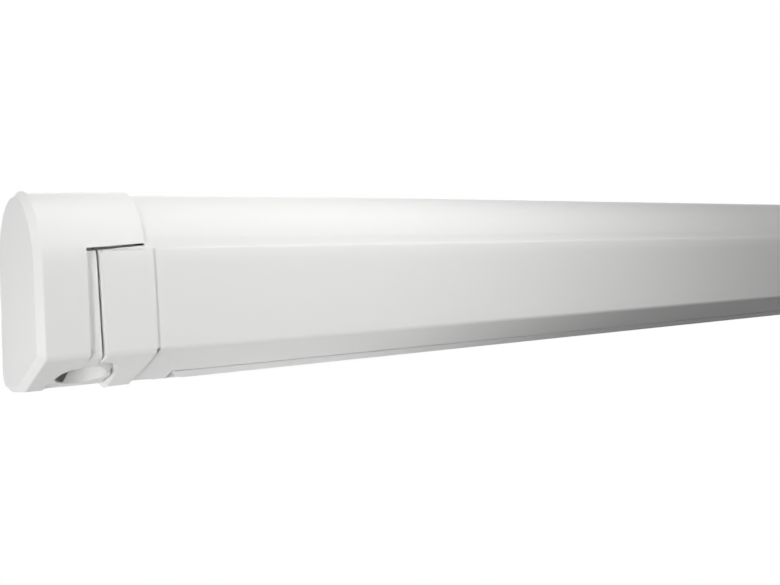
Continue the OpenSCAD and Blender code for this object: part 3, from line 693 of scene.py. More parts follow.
def end_cap(with_crank):
    bm = carve(loft(CAP_OUTER), loft(CAP_HOLLOW))
    if with_crank:
        bm = add_collar(bm)
    bm = carve(bm, notch_cutter(with_crank))
    if with_crank:
        bm = cut_crank_hole(bm)
    tidy_faces(bm)
    cut_edges = round_edges(bm, CAP_ROUND, 3, lambda edge: on_skin(edge) and not crank_rim(edge))
    cut_edges += round_edges(bm, RIM_ROUND, 2, lambda edge: on_skin(edge) and crank_rim(edge))
    print("rounded", cut_edges, "cut edges")
    flare(bm)
    return bm


make_piece("left_cap_moulding", end_cap(True), MOULDED, "casing", "left_end_cap")
right = end_cap(False)
flip_side(right)
make_piece("right_cap_moulding", right, MOULDED, "casing", "right_end_cap")

# %% [markdown]
# ## Pieces whose shape the CAD already has
# Most of the hardware is right in shape, but a CAD edge is razor sharp, and nothing real is. A copy of
# the CAD mesh is merged, its flat triangles are joined, and its edges are rounded by a fraction of a
# millimetre, which is what catches the light. The copy then stands for the CAD node.

# %% Softened copies
BODIES = frame["record"]["behaviour"]["bodies"]


def cad_copy(node):
    bm = bmesh.new()
    bm.from_mesh(frame["nodes"][node].data)
    tidy_faces(bm)
    return bm


def body_of(node):
    return next(body for body, members in BODIES.items() if node in members)


# each row: finish, slot, rounding in millimetres, CAD nodes
HARDWARE = [
    (ZINC, "zinc_steel", 0.5, ["wall_brackets"]),
    (CASTING, "cast_grey", 0.5, ["left_shoulder_bracket", "right_shoulder_bracket", "left_wrist_bracket",
                                 "right_wrist_bracket", "leg_hangers"]),
    (TURNED, "screw_steel", 0.25, ["shoulder_pins", "wrist_pins", "leg_pins", "crank_eye", "worm_shaft"]),
    (DRAWN, "raw_aluminium", 0.2, ["roller_tube"]),
    (NYLON, "drive_black", 0.3, ["worm_wheel", "drive_plug", "idle_plug"]),
]
for side in ("left", "right"):
    HARDWARE += [
        (ARM_PAINT, "arm_white", 0.25, [side + "_upper_tube", side + "_fore_tube"]),
        (CASTING, "cast_grey", 0.6, [side + "_shoulder_eye", side + "_elbow_fork", side + "_elbow_tongue",
                                     side + "_wrist_eye", side + "_leg_eye"]),
        (TURNED, "screw_steel", 0.25, [side + "_elbow_pin"]),
        (COLLAR, "collar_grey", 0.3, [side + "_leg_collar", side + "_leg_lever"]),
        (DRAWN, "raw_aluminium", 0.2, [side + "_leg_inner"]),
        (RUBBER, "foot_rubber", 0.6, [side + "_leg_foot"]),
    ]
for material, slot, radius, nodes in HARDWARE:
    for node in nodes:
        bm = cad_copy(node)
        round_edges(bm, radius, angle=ANY_EDGE)
        make_piece(node + "_rounded", bm, material, body_of(node), node)

# %% [markdown]
# ## The casing and the slot under the skirt
# The casing is one long extrusion. Its outer skin nearly reaches the end caps' skirts, so a copy of the CAD
# shape has its skin grown a little between the skirts. Under each skirt a narrow dark slot is left,
# so that the cap can be sprung off, and it is cut through casing and housing alike.

# %% Casing
SKIN_IN, SKIN_GROWTH = 2, 1.2
GROW_D, GROW_OVER, GROW_RISE = 15, 35, 20
LIP_Z, LIP_D, LIP_GAP = 94.4, 60, 0.08
SLOT_U, SLOT_LOW, SLOT_RISE, SLOT_HIGH, SLOT_D = 28, 93.6, 0.083, 2.8, 90
PLAIN_ROUND = 0.25


def cut_across(bm, *places):
    """Adds loops of edges at places along the case, at both ends."""
    for u in places:
        for side in (-1, 1):
            geom = bm.verts[:] + bm.edges[:] + bm.faces[:]
            bmesh.ops.bisect_plane(
                bm, geom=geom, dist=0.001 * MM, plane_co=(side * along(u), 0, 0), plane_no=(1, 0, 0)
            )


def grow_skin(bm, from_u):
    """Moves the outer skin out, from full at the front to nothing at the wall side and the ridge."""
    for v in bm.verts:
        if abs(v.co.x) > HALF - from_u * MM:
            continue
        away = skin_foot(v.co) - v.co.yz
        if abs(away.length / MM - SKIN_IN) < ON_SKIN:
            share = held((-v.co.y / MM - GROW_D) / GROW_OVER)
            if v.co.z > up(RIDGE_Z + 0.2):
                share *= held((v.co.z - up(RIDGE_Z)) / (GROW_RISE * MM))
            v.co.yz = v.co.yz + away.normalized() * SKIN_GROWTH * share * MM


def slot_cutter(flipped):
    """The slot under a skirt, which rises a little away from the end."""
    ends = ((SLOT_U, 0), (SKIRT_U + 0.3, 0), (SKIRT_U + 0.3, SLOT_HIGH), (SLOT_U, SLOT_HIGH))
    face = [(u, SLOT_LOW + (u - NOTCH_U) * SLOT_RISE + over) for u, over in ends]
    bm = block_out(face, SLOT_D, FAR_OUT)
    if flipped:
        flip_side(bm)
    return bm


bm = cad_copy("casing_profile")
cut_across(bm, SKIRT_U + 0.2, SKIRT_U + 0.4)
grow_skin(bm, SKIRT_U + 0.3)
for v in bm.verts:
    if abs(v.co.z - up(LIP_Z)) < 0.05 * MM and v.co.y < front(LIP_D):
        v.co.z = up(RIDGE_Z + LIP_GAP)
for flipped in (False, True):
    bm = carve(bm, slot_cutter(flipped))
tidy_faces(bm)
round_edges(bm, PLAIN_ROUND)
make_piece("casing_rounded", bm, POWDER, "casing", "casing_profile")

# %% [markdown]
# ## The gear housing's cheek
# Between the end cap and the rail's cap a narrow strip of the gear housing shows. Its front is set back, but
# its underside is flush with the cap's bevel and runs on round the crank hole as a land. The strip is lofted
# from its own outline, kept to where it shows, and bored. Its far side leans by a millimetre or so, as the
# edges of the rail's cap do, so the blocks for it lean too.

# %% Cheek strip
CHEEK = [HEEL, (*DOME[:2], 42.9), (95.4, 33.84, 4.2), (*BELLY[:2], 11.7)]
CHEEK_U, CHEEK_END, CHEEK_WALL = NOTCH_U + 0.1, 35.1, 3
CHEEK_D = CRANK_D + 0.2
LAND_R, LAND_TIP, LAND_TOP = 18.3, 15.9, 33
BEVEL_Z, BEVEL_SLOPE = 15.70, 0.535
LEAN, LEAN_FOOT = 1.6, 32


def leaning(u, z):
    """A place along the case that moves off by LEAN between the ridge and the crease."""
    return u + LEAN * held((RIDGE_Z - z) / (RIDGE_Z - LEAN_FOOT))


def leaning_block(u0, u1, d, z0, z1):
    """A block in front of the distance d, whose second side leans."""
    far_side = [(leaning(u1, z), z) for z in (z0, LEAN_FOOT, z1)]
    return block_out([(u0, z0), *far_side, (u0, z1)], d, FAR_OUT)


def leaned_cone(low_r, high_r, over, depth):
    """A cone on the crank's axis, leaned over to the bevel's slope, with its middle over the bevel."""
    place = Matrix.Translation((along(CRANK_U), front(CRANK_D), up(BEVEL_Z + over)))
    bm = round_bar(place, low_r, high_r, depth)
    for v in bm.verts:
        v.co.z += (front(CRANK_D) - v.co.y) * BEVEL_SLOPE
    return bm


def cheek_strip():
    """The strip and the land round the hole, as one bored shell."""
    shell = carve(loft([(CHEEK_U, 0), (SKIRT_U, 0)], CHEEK),
                  loft([(0, CHEEK_WALL), (PAST_SKIRT, CHEEK_WALL)], CHEEK))
    strip = leaning_block(CHEEK_U, CHEEK_END, CHEEK_D, BELOW, SLOT_LOW + 1)
    land = carve(crank_bar(LAND_R, BELOW, LAND_TOP), box(CHEEK_U, SKIRT_U, CHEEK_D, FAR_OUT), "INTERSECT")
    shown = carve(strip, land, "UNION")
    return carve(carve(shell, shown, "INTERSECT"), crank_bar(CRANK_R, BELOW, ABOVE))


print("cheek strip from", CHEEK_U, "to", CHEEK_END, "mm, leaning by", LEAN, "mm")

# %% [markdown]
# ## The two housings
# The strip is joined to a copy of the gear housing. Then the dark lines round it are cut: the gap beside the
# rail's cap, the slit beside the end cap and the slot under the skirt. The well makes room for the hole's
# collar. The idle housing at the other end only gets the slot.

# %% Housings
GAP_END, GAP_D, GAP_LOW = 36.7, 84, 37
SLIT_LOW, SLIT_HIGH = 8, 37
LAND_OVER, LAND_SLOPE = 0.6, 6


def cheek_slit():
    """The slit between cap and cheek, widest at the crease and closed a little behind it."""
    plan = [(NOTCH_U - 0.3, 106), (NOTCH_U + 2.6, 106), (NOTCH_U - 0.3, 92)]
    return block_up(plan, SLIT_LOW, SLIT_HIGH)


def land_edge():
    """The ring that slopes the land away from the hole's rim, towards the rail's cap."""
    outer = leaned_cone(LAND_R + LAND_OVER, LAND_R + LAND_OVER, -1, 8)
    ring = carve(outer, leaned_cone(LAND_TIP - LAND_SLOPE, LAND_TIP + LAND_SLOPE, 0, 2 * LAND_SLOPE))
    return carve(ring, box(leaning(CHEEK_END, 0) + 0.3, SKIRT_U, CRANK_D, FAR_OUT), "INTERSECT")


def cap_gap():
    """The thin gap between the cheek and the rail's cap."""
    bm = leaning_block(CHEEK_U, GAP_END, GAP_D, GAP_LOW, SLOT_LOW + 1)
    return carve(bm, leaning_block(NOTCH_U, CHEEK_END, GAP_D - 1, BELOW, ABOVE))


def collar_well():
    """The room that the crank hole's collar takes in the housing, behind the cheek."""
    bm = crank_bar(CRANK_R + COLLAR_WALL + 0.2, BELOW, COLLAR_TOP + 0.3)
    return carve(bm, box(CHEEK_U, SKIRT_U, CHEEK_D, FAR_OUT))


gear = carve(cad_copy("gear_housing"), cheek_strip(), "UNION")
for cut in (cap_gap(), collar_well(), pocket(), cheek_slit(), land_edge(), slot_cutter(False)):
    gear = carve(gear, cut)
idle = carve(cad_copy("idle_housing"), slot_cutter(True))
for node, bm in (("gear_housing", gear), ("idle_housing", idle)):
    tidy_faces(bm)
    round_edges(bm, PLAIN_ROUND)
    make_piece(node + "_rounded", bm, MOULDED, "casing", node)

# %% [markdown]
# ## The bevel under the rail
# The rail's underside is a flat bevel. It runs on over the mouth of the bay where the legs lie, so short
# plates carry it straight on there, and a wedge of air parts each rail cap from the rail under the crease.
# All of them take their height from one plane, so that they meet without a step.

# %% Bevel
RAIL_CAP_U, RAIL_CAP_END = 36, 70
BAY_D, FLOOR_D, TURN_D = 61.5, 44.4, 47
PLATE_T, PLATE_DROP = 1.7, 0.3
GAP_FOOT, GAP_TOP = -20, 34.6
GAP_PLAN = [(1.4, 106), (-1.4, 106), (0, 97), (0.3, 44), (1.4, 44)]
BEVEL_STRETCH = math.hypot(1, BEVEL_SLOPE)
LEG_U, _, LEG_Z = pivot("left_leg_swing")
LEG_KNUCKLE = 15.4


def bevel_z(d, inset):
    """The height of the bevel's plane, drawn in by an inset."""
    return BEVEL_Z + (d - CRANK_D) * BEVEL_SLOPE + inset * BEVEL_STRETCH


def crease_gap(flipped):
    """The narrow wedge of air between a rail cap and the rail, under the crease."""
    bm = block_up([(RAIL_CAP_END + u, d) for u, d in GAP_PLAN], GAP_FOOT, GAP_TOP)
    if flipped:
        flip_side(bm)
    return bm


def bevel_plate(near, far, inset_near, inset_far):
    """A plate that carries the bevel straight on, behind the mouth of the leg bay."""
    mouth, turn = BAY_D + 0.3, bevel_z(TURN_D, inset_far)
    side = [(mouth, bevel_z(mouth, inset_far)), (TURN_D, turn), (FLOOR_D, turn - PLATE_DROP)]
    side += [(d, z + PLATE_T) for d, z in reversed(side)]
    bm = block_along(side, near, far)
    for v in bm.verts:
        if v.co.x < along((near + far) / 2):
            v.co.z += (inset_near - inset_far) * BEVEL_STRETCH * MM
    return bm


def knuckle(radius, d0, d1):
    """A round bar across the case, on the left leg's pivot."""
    place = Matrix.Translation((along(LEG_U), front((d0 + d1) / 2), up(LEG_Z)))
    return round_bar(place @ Matrix.Rotation(math.pi / 2, 4, "X"), radius, radius, d1 - d0)


print("bevel rises", BEVEL_SLOPE, "mm a millimetre, leg pivot at", LEG_U, LEG_Z)

# %% [markdown]
# ## The lead rail
# The rail's top edge is a plain round that runs the whole length of the awning and shows as one bright
# line, so it is rounded first and more than the rest. The skin grows past the leg's pivot, as on the
# casing. By the pivot a plate and a thin web close the bay, and a round room is cut for the leg's knuckle,
# which turns there when the leg is folded down.

# %% Lead rail
TOP_ROUND, RAIL_ROUND, RAIL_SKIN = 1.2, 0.2, 4.2
BAY_LIP, BAY_EDGE_D, BAY_EDGE_Z = 1.15, (59.5, 61), 14
RIDGE_SKIN, KNUCKLE_BACK, KNUCKLE_FRONT = 2.2, FLOOR_D + 0.6, BAY_D - 1.2
PLATE_END, PLATE_IN = LEG_U - LEG_KNUCKLE, 1.26
WEB_BACK, WEB_FRONT, WEB_IN, WEB_TOP = FLOOR_D - 1.1, FLOOR_D + 0.4, 0.9, 13


def bay_edge(edge):
    """Whether an edge lies along the mouth of the leg bay, where leg and bevel meet."""
    near, far = BAY_EDGE_D
    return all(front(far) < v.co.y < front(near) and v.co.z < up(BAY_EDGE_Z) for v in edge.verts)


def ridge_edge(edge):
    return all(abs(v.co.z - up(RIDGE_Z)) < 0.01 * MM and skin_depth(v.co) < RIDGE_SKIN for v in edge.verts)


def rail_edge(edge):
    return all(skin_depth(v.co) < RAIL_SKIN for v in edge.verts) and not bay_edge(edge)


bm = cad_copy("lead_rail_profile")
cut_across(bm, LEG_U)
grow_skin(bm, LEG_U - 0.5)
for v in bm.verts:
    if abs(v.co.y - front(BAY_D)) < 0.05 * MM:
        v.co.y = front(BAY_D - BAY_LIP)
web = box(PLATE_END - 8, LEG_U + 4, WEB_BACK, WEB_FRONT, bevel_z(TURN_D, WEB_IN), WEB_TOP)
bm = carve(bm, bevel_plate(RAIL_CAP_END + 1, PLATE_END, SKIN_IN, PLATE_IN), "UNION")
bm = carve(bm, web, "UNION")
bm = carve(bm, knuckle(LEG_KNUCKLE, KNUCKLE_BACK, KNUCKLE_FRONT))
for flipped in (False, True):
    bm = carve(bm, crease_gap(flipped))
tidy_faces(bm)
print("ridge edges", round_edges(bm, TOP_ROUND, 5, ridge_edge, ANY_EDGE))
round_edges(bm, RAIL_ROUND, 2, rail_edge)
make_piece("lead_rail_rounded", bm, POWDER, "lead_rail", "lead_rail_profile")

# %% [markdown]
# ## The scallop in the left rail cap
# The left rail cap is scooped out round the crank hole's land. The scoop is a bar with a block behind it, so
# its wall is the difference of a larger and a smaller pair, kept over the bevel. A cone and a wedge,
# leaned over to the bevel's slope, then break the sharp rim.

# %% Scallop
SCALLOP_U, SCALLOP_R, SCALLOP_WALL = 50.6, 18.5, 4.6
WALL_FOOT, WALL_TOP = -20, 38
INSIDE_U, INSIDE_D, INSIDE_TOP, ROOM_TOP = -20, 20, 50, 60
SCALLOP_CHAMFER, CHAMFER_PAST = 4.0, 4


def scallop_wall():
    """The wall round the crank hole's land, which closes the rail cap's shell there."""
    wall_end = SCALLOP_U + SCALLOP_WALL
    outer = carve(crank_bar(SCALLOP_R + SCALLOP_WALL, WALL_FOOT, WALL_TOP),
                  box(0, wall_end, FLOOR_D, CRANK_D, WALL_FOOT, WALL_TOP), "UNION")
    inner = carve(crank_bar(SCALLOP_R, BELOW, INSIDE_TOP),
                  box(INSIDE_U, SCALLOP_U, INSIDE_D, CRANK_D, BELOW, INSIDE_TOP), "UNION")
    side = [(d, bevel_z(d, 0)) for d in (FLOOR_D, CREASE[0])]
    side += [(CREASE[0], ROOM_TOP), (FLOOR_D, ROOM_TOP)]
    room = block_along(side, RAIL_CAP_U, RAIL_CAP_END)
    return carve(carve(outer, inner), room, "INTERSECT")


def scallop_chamfer():
    """A cone and a wedge that break the scallop's rim."""
    reach = SCALLOP_CHAMFER + CHAMFER_PAST
    cone = leaned_cone(SCALLOP_R + reach, SCALLOP_R, SCALLOP_CHAMFER - reach / 2, reach)
    low = SCALLOP_CHAMFER - reach
    corners = [(SCALLOP_U - CHAMFER_PAST, SCALLOP_CHAMFER), (SCALLOP_U, SCALLOP_CHAMFER),
               (SCALLOP_U + reach, low), (SCALLOP_U - CHAMFER_PAST, low)]
    corners = [(along(u), front(CRANK_D), up(BEVEL_Z + over)) for u, over in corners]
    back = Vector((0, 1, -BEVEL_SLOPE)) * (CRANK_D - FLOOR_D + 2) * MM
    return carve(cone, prism(corners, back), "UNION")


print("scallop", SCALLOP_R, "mm in radius with a chamfer of", SCALLOP_CHAMFER, "mm")

# %% [markdown]
# ## The rail caps
# The caps have the same round at their top as the rail, and a flat chamfer on the side that faces the end
# cap. Their two side edges lean a little, which fades out under the crease. Leaning the finished mesh keeps
# the roundings as they are, where a leaning cut would have bevelled unevenly.

# %% Rail caps
FAR_ROUND, SIDE_CHAMFER, CAP_TOP_ROUND = 0.4, 2.1, 1.4
NEAR_SHIFT, FAR_SHIFT = 0.4, -1.9
LEAN_FADE, LEAN_OVER = 22, 9


def across_at(edge, u, reach):
    """Whether an edge of the skin lies near a place along the case, at either end."""
    return on_skin(edge) and all(abs(abs(v.co.x) - (HALF - u * MM)) < reach * MM for v in edge.verts)


def top_edge(edge):
    return on_skin(edge) and all(v.co.z > up(RIDGE_Z - 0.1) for v in edge.verts)


def lean_cap(bm):
    """Leans the two side edges over, and fades that out under the crease."""
    for v in bm.verts:
        z = (v.co.z - FOOT) / MM
        share = (HALF - abs(v.co.x) - RAIL_CAP_U * MM) / ((RAIL_CAP_END - RAIL_CAP_U) * MM)
        shift = leaning((1 - share) * NEAR_SHIFT + share * FAR_SHIFT, z) * held((z - LEAN_FADE) / LEAN_OVER)
        v.co.x *= 1 - shift * MM / abs(v.co.x)


for side, flipped in (("left", False), ("right", True)):
    lower = bevel_plate(RAIL_CAP_U if flipped else SCALLOP_U, RAIL_CAP_END, 0, 0)
    if flipped:
        flip_side(lower)
    bm = carve(cad_copy(side + "_rail_cap"), lower, "UNION")
    if not flipped:
        bm = carve(carve(bm, scallop_wall(), "UNION"), scallop_chamfer())
    bm = carve(bm, crease_gap(flipped))
    tidy_faces(bm)
    round_edges(bm, FAR_ROUND, 3, lambda edge: across_at(edge, RAIL_CAP_END, 3))
    side_cut = round_edges(bm, SIDE_CHAMFER, 1, lambda edge: across_at(edge, RAIL_CAP_U, 0.05), clamp=False)
    print("side edges", side_cut)
    round_edges(bm, CAP_TOP_ROUND, 5, top_edge)
    lean_cap(bm)
    make_piece(side + "_rail_cap_moulding", bm, MOULDED, "lead_rail", side + "_rail_cap")

# %% [markdown]
# ## The legs' outer tubes
# The legs lie in a bay under the rail. The front one closes the bay's mouth, so its lower face carries on
# the slope of the bevel: a sole with that slope runs under the tube, and is rounded off at the leg's pivot.
# The sole keeps sharp edges, so that the bevel seems to run on past it.

# %% Leg tubes
SOLE_Z = bevel_z(TURN_D, SKIN_IN - SKIN_GROWTH)
SOLE_NEAR, SOLE_FAR, SOLE_BACK, SOLE_FRONT, SOLE_TOP = 94, 1243, 45.25, 60.15, 11.9
TUBE_ROUND, SOLE_ANGLE = 0.3, 15


def leg_sole():
    """The sloped strip under the front leg, trimmed round at the leg's pivot."""
    side = [(SOLE_FRONT, SOLE_TOP), (SOLE_FRONT, SOLE_Z + (SOLE_FRONT - TURN_D) * BEVEL_SLOPE),
            (TURN_D, SOLE_Z), (SOLE_BACK, SOLE_Z - PLATE_DROP), (SOLE_BACK, SOLE_TOP)]
    bm = block_along(side, SOLE_NEAR, SOLE_FAR)
    kept = carve(knuckle(LEG_KNUCKLE - 0.2, 20, 80), box(LEG_U, SOLE_FAR + 5, 20, 80), "UNION")
    return carve(bm, kept, "INTERSECT")


for side in ("left", "right"):
    bm = cad_copy(side + "_leg_tube")
    if side == "left":
        bm = carve(bm, leg_sole(), "UNION")
        tidy_faces(bm)
    round_edges(bm, TUBE_ROUND, 2, lambda edge: all(v.co.z > up(BAY_EDGE_Z) for v in edge.verts))
    make_piece(side + "_leg_tube_rounded", bm, ARM_PAINT, side + "_leg", side + "_leg_tube",
               SOLE_ANGLE)

# %% [markdown]
# ## The rolled cloth
# Closed, the cloth is wound round the roller. It is one long strip: starting from a single edge as long as
# the cloth is wide, each step extrudes that edge, turns it a little further round the roller and moves it
# a little further out. Its UV map runs in metres along the strip, so the weave keeps its scale.

# %% Rolled cloth
_, ROLL_D, ROLL_Z = pivot("roller_turn")
CLOTH_HALF = 1.234
TURNS, STEPS_PER_TURN = 13, 48
CORE_R, CLOTH_PITCH, CLOTH_T = 20.8, 0.46, 0.36


def far_edge(made):
    """The edge at the far side of what was just extruded, with its vertices."""
    verts = only(made, bmesh.types.BMVert)
    return next(edge for edge in only(made, bmesh.types.BMEdge) if set(edge.verts) == set(verts)), verts


def make_cloth(name, bm, material, node):
    """A sheet of cloth in place of a CAD node, with its thickness half to each side."""
    piece = add_object(name, bm, material)
    thick = piece.modifiers.new("cloth_thickness", "SOLIDIFY")
    thick.thickness, thick.offset = CLOTH_T * MM, 0
    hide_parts(node)
    return piece


def rolled_strip():
    bm = bmesh.new()
    uv = bm.loops.layers.uv.new("cloth")
    axis = Vector((0, front(ROLL_D), up(ROLL_Z)))
    ends = [bm.verts.new((x, axis.y, axis.z + CORE_R * MM)) for x in (-CLOTH_HALF, CLOTH_HALF)]
    edge = bm.edges.new(ends)
    turn = Matrix.Rotation(math.tau / STEPS_PER_TURN, 4, "X")
    length = 0.0
    for i in range(TURNS * STEPS_PER_TURN):
        made = bmesh.ops.extrude_edge_only(bm, edges=[edge])["geom"]
        edge, verts = far_edge(made)
        bmesh.ops.rotate(bm, cent=axis, matrix=turn, verts=verts)
        outward = (verts[0].co - axis).yz.normalized()
        step = Vector((0, *outward)) * (CLOTH_PITCH * MM / STEPS_PER_TURN)
        bmesh.ops.translate(bm, vec=step, verts=verts)
        ahead = length + (CORE_R + i * CLOTH_PITCH / STEPS_PER_TURN) * MM * math.tau / STEPS_PER_TURN
        for loop in only(made, bmesh.types.BMFace)[0].loops:
            loop[uv].uv = (loop.vert.co.x, ahead if loop.vert in verts else length)
        length = ahead
    return bm, length


bm, CLOTH_LENGTH = rolled_strip()
roll = make_cloth("cloth_roll", bm, ROLLED_CLOTH, "fabric_roll")
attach(roll, "roller")
print("wound length", round(CLOTH_LENGTH, 3), "m")

# %% [markdown]
# ## The free stretch of cloth
# Between the roll and the rail a short flat stretch shows. It runs from under the roll to just short of
# the hem, as one flat grid of rows and columns.

# %% Free stretch
CLOTH_Z, HEM_D, HEM_GAP = 64.45, 81, 0.3
ROWS, COLUMNS = 40, 24
stretch_end = HEM_D - HEM_GAP
bm = bmesh.new()
bmesh.ops.create_grid(bm, x_segments=COLUMNS, y_segments=ROWS, size=0.5)
bmesh.ops.scale(bm, vec=(2 * CLOTH_HALF, (stretch_end - ROLL_D) * MM, 1), verts=bm.verts)
bmesh.ops.translate(bm, vec=(0, front((ROLL_D + stretch_end) / 2), up(CLOTH_Z)), verts=bm.verts)
stretch = make_cloth("cloth_stretch", bm, CLOTH, "fabric_sheet")
front(ROLL_D)
up(CLOTH_Z)
front(stretch_end)
up(CLOTH_Z)
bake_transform(stretch)
print("free stretch", round(stretch_end - ROLL_D, 1), "mm long when closed")

# %% [markdown]
# ## The hem and its bead
# The front edge of the cloth is folded round a bead, which slides in the rail's groove and holds the cloth
# there. The hem is drawn as that fold: one edge is extruded to the bead, spun almost once round it and
# extruded back. The bead is a plain rod.

# %% Hem pocket and bead
KEDER_D, LAYER, HEM_R, HEM_STEPS = 88, 0.2, 2.95, 36
BEAD_R, BEAD_SIDES, BEAD_ROUND = 2.72, 32, 0.6


def drawn_on(bm, edge, move):
    """Extrudes an edge by a move and gives back the far edge."""
    edge, verts = far_edge(bmesh.ops.extrude_edge_only(bm, edges=[edge])["geom"])
    bmesh.ops.translate(bm, vec=move, verts=verts)
    return edge


def hem_pocket():
    """Two layers that run to the bead and meet round it."""
    bm = bmesh.new()
    opening = math.asin(LAYER / HEM_R)
    reach = (KEDER_D - HEM_R * math.cos(opening) - HEM_D) * MM
    top = up(CLOTH_Z + LAYER)
    edge = bm.edges.new([bm.verts.new((x, front(HEM_D), top)) for x in (-CLOTH_HALF, CLOTH_HALF)])
    edge = drawn_on(bm, edge, (0, -reach, 0))
    turned = bmesh.ops.spin(
        bm, geom=[edge, *edge.verts], cent=(0, front(KEDER_D), up(CLOTH_Z)), axis=(1, 0, 0),
        angle=math.tau - 2 * opening, steps=HEM_STEPS,
    )["geom_last"]
    drawn_on(bm, only(turned, bmesh.types.BMEdge)[0], (0, reach, 0))
    bmesh.ops.recalc_face_normals(bm, faces=bm.faces)
    return bm, 2 * reach + (math.tau - 2 * opening) * HEM_R * MM


bm, HEM_LENGTH = hem_pocket()
hem = make_cloth("cloth_hem", bm, CLOTH, "fabric_hem")
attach(hem, "fabric_front")

bm = bmesh.new()
start = Matrix.Translation((-CLOTH_HALF, front(KEDER_D), up(CLOTH_Z))) @ Matrix.Rotation(math.pi / 2, 4, "Y")
bmesh.ops.create_circle(bm, cap_ends=True, radius=BEAD_R * MM, segments=BEAD_SIDES, matrix=start)
made = bmesh.ops.extrude_face_region(bm, geom=bm.faces[:])["geom"]
bmesh.ops.translate(bm, vec=(2 * CLOTH_HALF, 0, 0), verts=only(made, bmesh.types.BMVert))
bmesh.ops.recalc_face_normals(bm, faces=bm.faces)
round_edges(bm, BEAD_ROUND, 3, angle=ANY_EDGE)
make_piece("front_bead", bm, COLLAR, "lead_rail", "front_keder")
print("hem takes", round(HEM_LENGTH / MM, 1), "mm of cloth")

# %% [markdown]
# ## Springs
# The spring inside each upper arm keeps the cloth taut. One small ring of wire is spun round the arm's
# axis, and a little travel at each step turns the sweep into a coil. Ten turns are spun and then copied,
# because a very long spin drifts off its axis.

# %% Springs
SHOULDER_U, ARM_D, ARM_Z = pivot("left_shoulder")
SPRING_START, SPRING_LENGTH = 66.1, 756
COIL_R, WIRE_R, WIRE_SIDES = 5.6, 1.3, 6
COIL_PITCH, COIL_STEPS, COIL_BATCH = 3.58, 12, 10


def coil():
    """A coil of wire in the left upper arm."""
    bm = bmesh.new()
    axis = Vector((along(SHOULDER_U + SPRING_START + WIRE_R), front(ARM_D), up(ARM_Z)))
    start = Matrix.Translation(axis + Vector((0, 0, COIL_R * MM))) @ Matrix.Rotation(math.pi / 2, 4, "X")
    bmesh.ops.create_circle(bm, cap_ends=False, radius=WIRE_R * MM, segments=WIRE_SIDES, matrix=start)
    bmesh.ops.spin(
        bm, geom=bm.verts[:] + bm.edges[:], cent=axis, axis=(1, 0, 0), angle=math.tau * COIL_BATCH,
        steps=COIL_BATCH * COIL_STEPS, dvec=(COIL_PITCH * MM / COIL_STEPS, 0, 0),
    )
    batch = bm.verts[:] + bm.edges[:] + bm.faces[:]
    length = COIL_PITCH * COIL_BATCH
    for k in range(1, int((SPRING_LENGTH - 2 * WIRE_R) / length)):
        copied = bmesh.ops.duplicate(bm, geom=batch)["geom"]
        bmesh.ops.translate(bm, vec=(k * length * MM, 0, 0), verts=only(copied, bmesh.types.BMVert))
    bmesh.ops.remove_doubles(bm, verts=bm.verts, dist=0.05 * MM)
    bmesh.ops.holes_fill(bm, edges=[edge for edge in bm.edges if edge.is_boundary])
    bmesh.ops.recalc_face_normals(bm, faces=bm.faces)
    return bm


for side in ("left", "right"):
    bm = coil()
    if side == "right":
        flip_side(bm)
    make_piece(side + "_spring_coil", bm, TURNED, side + "_upper_arm", side + "_arm_spring")

# %% [markdown]
# ## One screw
# A pan head with a six lobed recess: a short cylinder with a rounded rim, whose top is inset and pushed in.
# Pulling every fourth point of the recess inwards gives the lobes. The shank is the head's underside, inset
# and drawn out.

# %% Screw
SHANK_R, HEAD_R, HEAD_H = 2.4, 4.4, 2.4
HEAD_SIDES, RIM_STEPS, RIM_SHARE = 24, 4, 0.42
RECESS_IN, RECESS_SHARE, LOBES = 1.1, 0.54, (1.0, 0.9, 0.72, 0.9)


def push_face(bm, face, rise):
    """Draws a face on by a rise, and takes away the face that it leaves behind."""
    made = bmesh.ops.extrude_face_region(bm, geom=[face])["geom"]
    bmesh.ops.delete(bm, geom=[face], context="FACES_ONLY")
    bmesh.ops.translate(bm, vec=(0, 0, rise * MM), verts=only(made, bmesh.types.BMVert))


def level(face):
    return face.calc_center_median().z


def screw(length, head):
    """A screw that stands on the floor with its head up and its shank under the floor."""
    bm = bmesh.new()
    bmesh.ops.create_circle(bm, cap_ends=True, radius=HEAD_R * MM, segments=HEAD_SIDES)
    made = bmesh.ops.extrude_face_region(bm, geom=bm.faces[:])["geom"]
    bmesh.ops.translate(bm, vec=(0, 0, head * MM), verts=only(made, bmesh.types.BMVert))
    bmesh.ops.recalc_face_normals(bm, faces=bm.faces)
    top, bottom = max(bm.faces, key=level), min(bm.faces, key=level)
    bmesh.ops.inset_region(bm, faces=[bottom], thickness=(HEAD_R - SHANK_R) * MM)
    push_face(bm, bottom, -length)
    bmesh.ops.bevel(
        bm, geom=list(top.edges), offset=head * RIM_SHARE * MM, segments=RIM_STEPS, profile=0.5,
        affect="EDGES", material=-1,
    )
    top = max(bm.faces, key=level)
    bmesh.ops.inset_region(bm, faces=[top], thickness=RECESS_IN * MM)
    for k, v in enumerate(top.verts):
        v.co.xy *= LOBES[k % len(LOBES)]
    push_face(bm, top, -RECESS_SHARE * head)
    bmesh.ops.recalc_face_normals(bm, faces=bm.faces)
    return bm


print("screw head", 2 * HEAD_R, "mm wide with", HEAD_SIDES // len(LOBES), "lobes")

# %% [markdown]
# ## All the screws
# The screws hold the wall brackets to the casing, the shoulders to the casing and the wrists to the rail.
# Each set is one piece, as in the CAD. The bracket screws have thin heads, because they lie under the case.

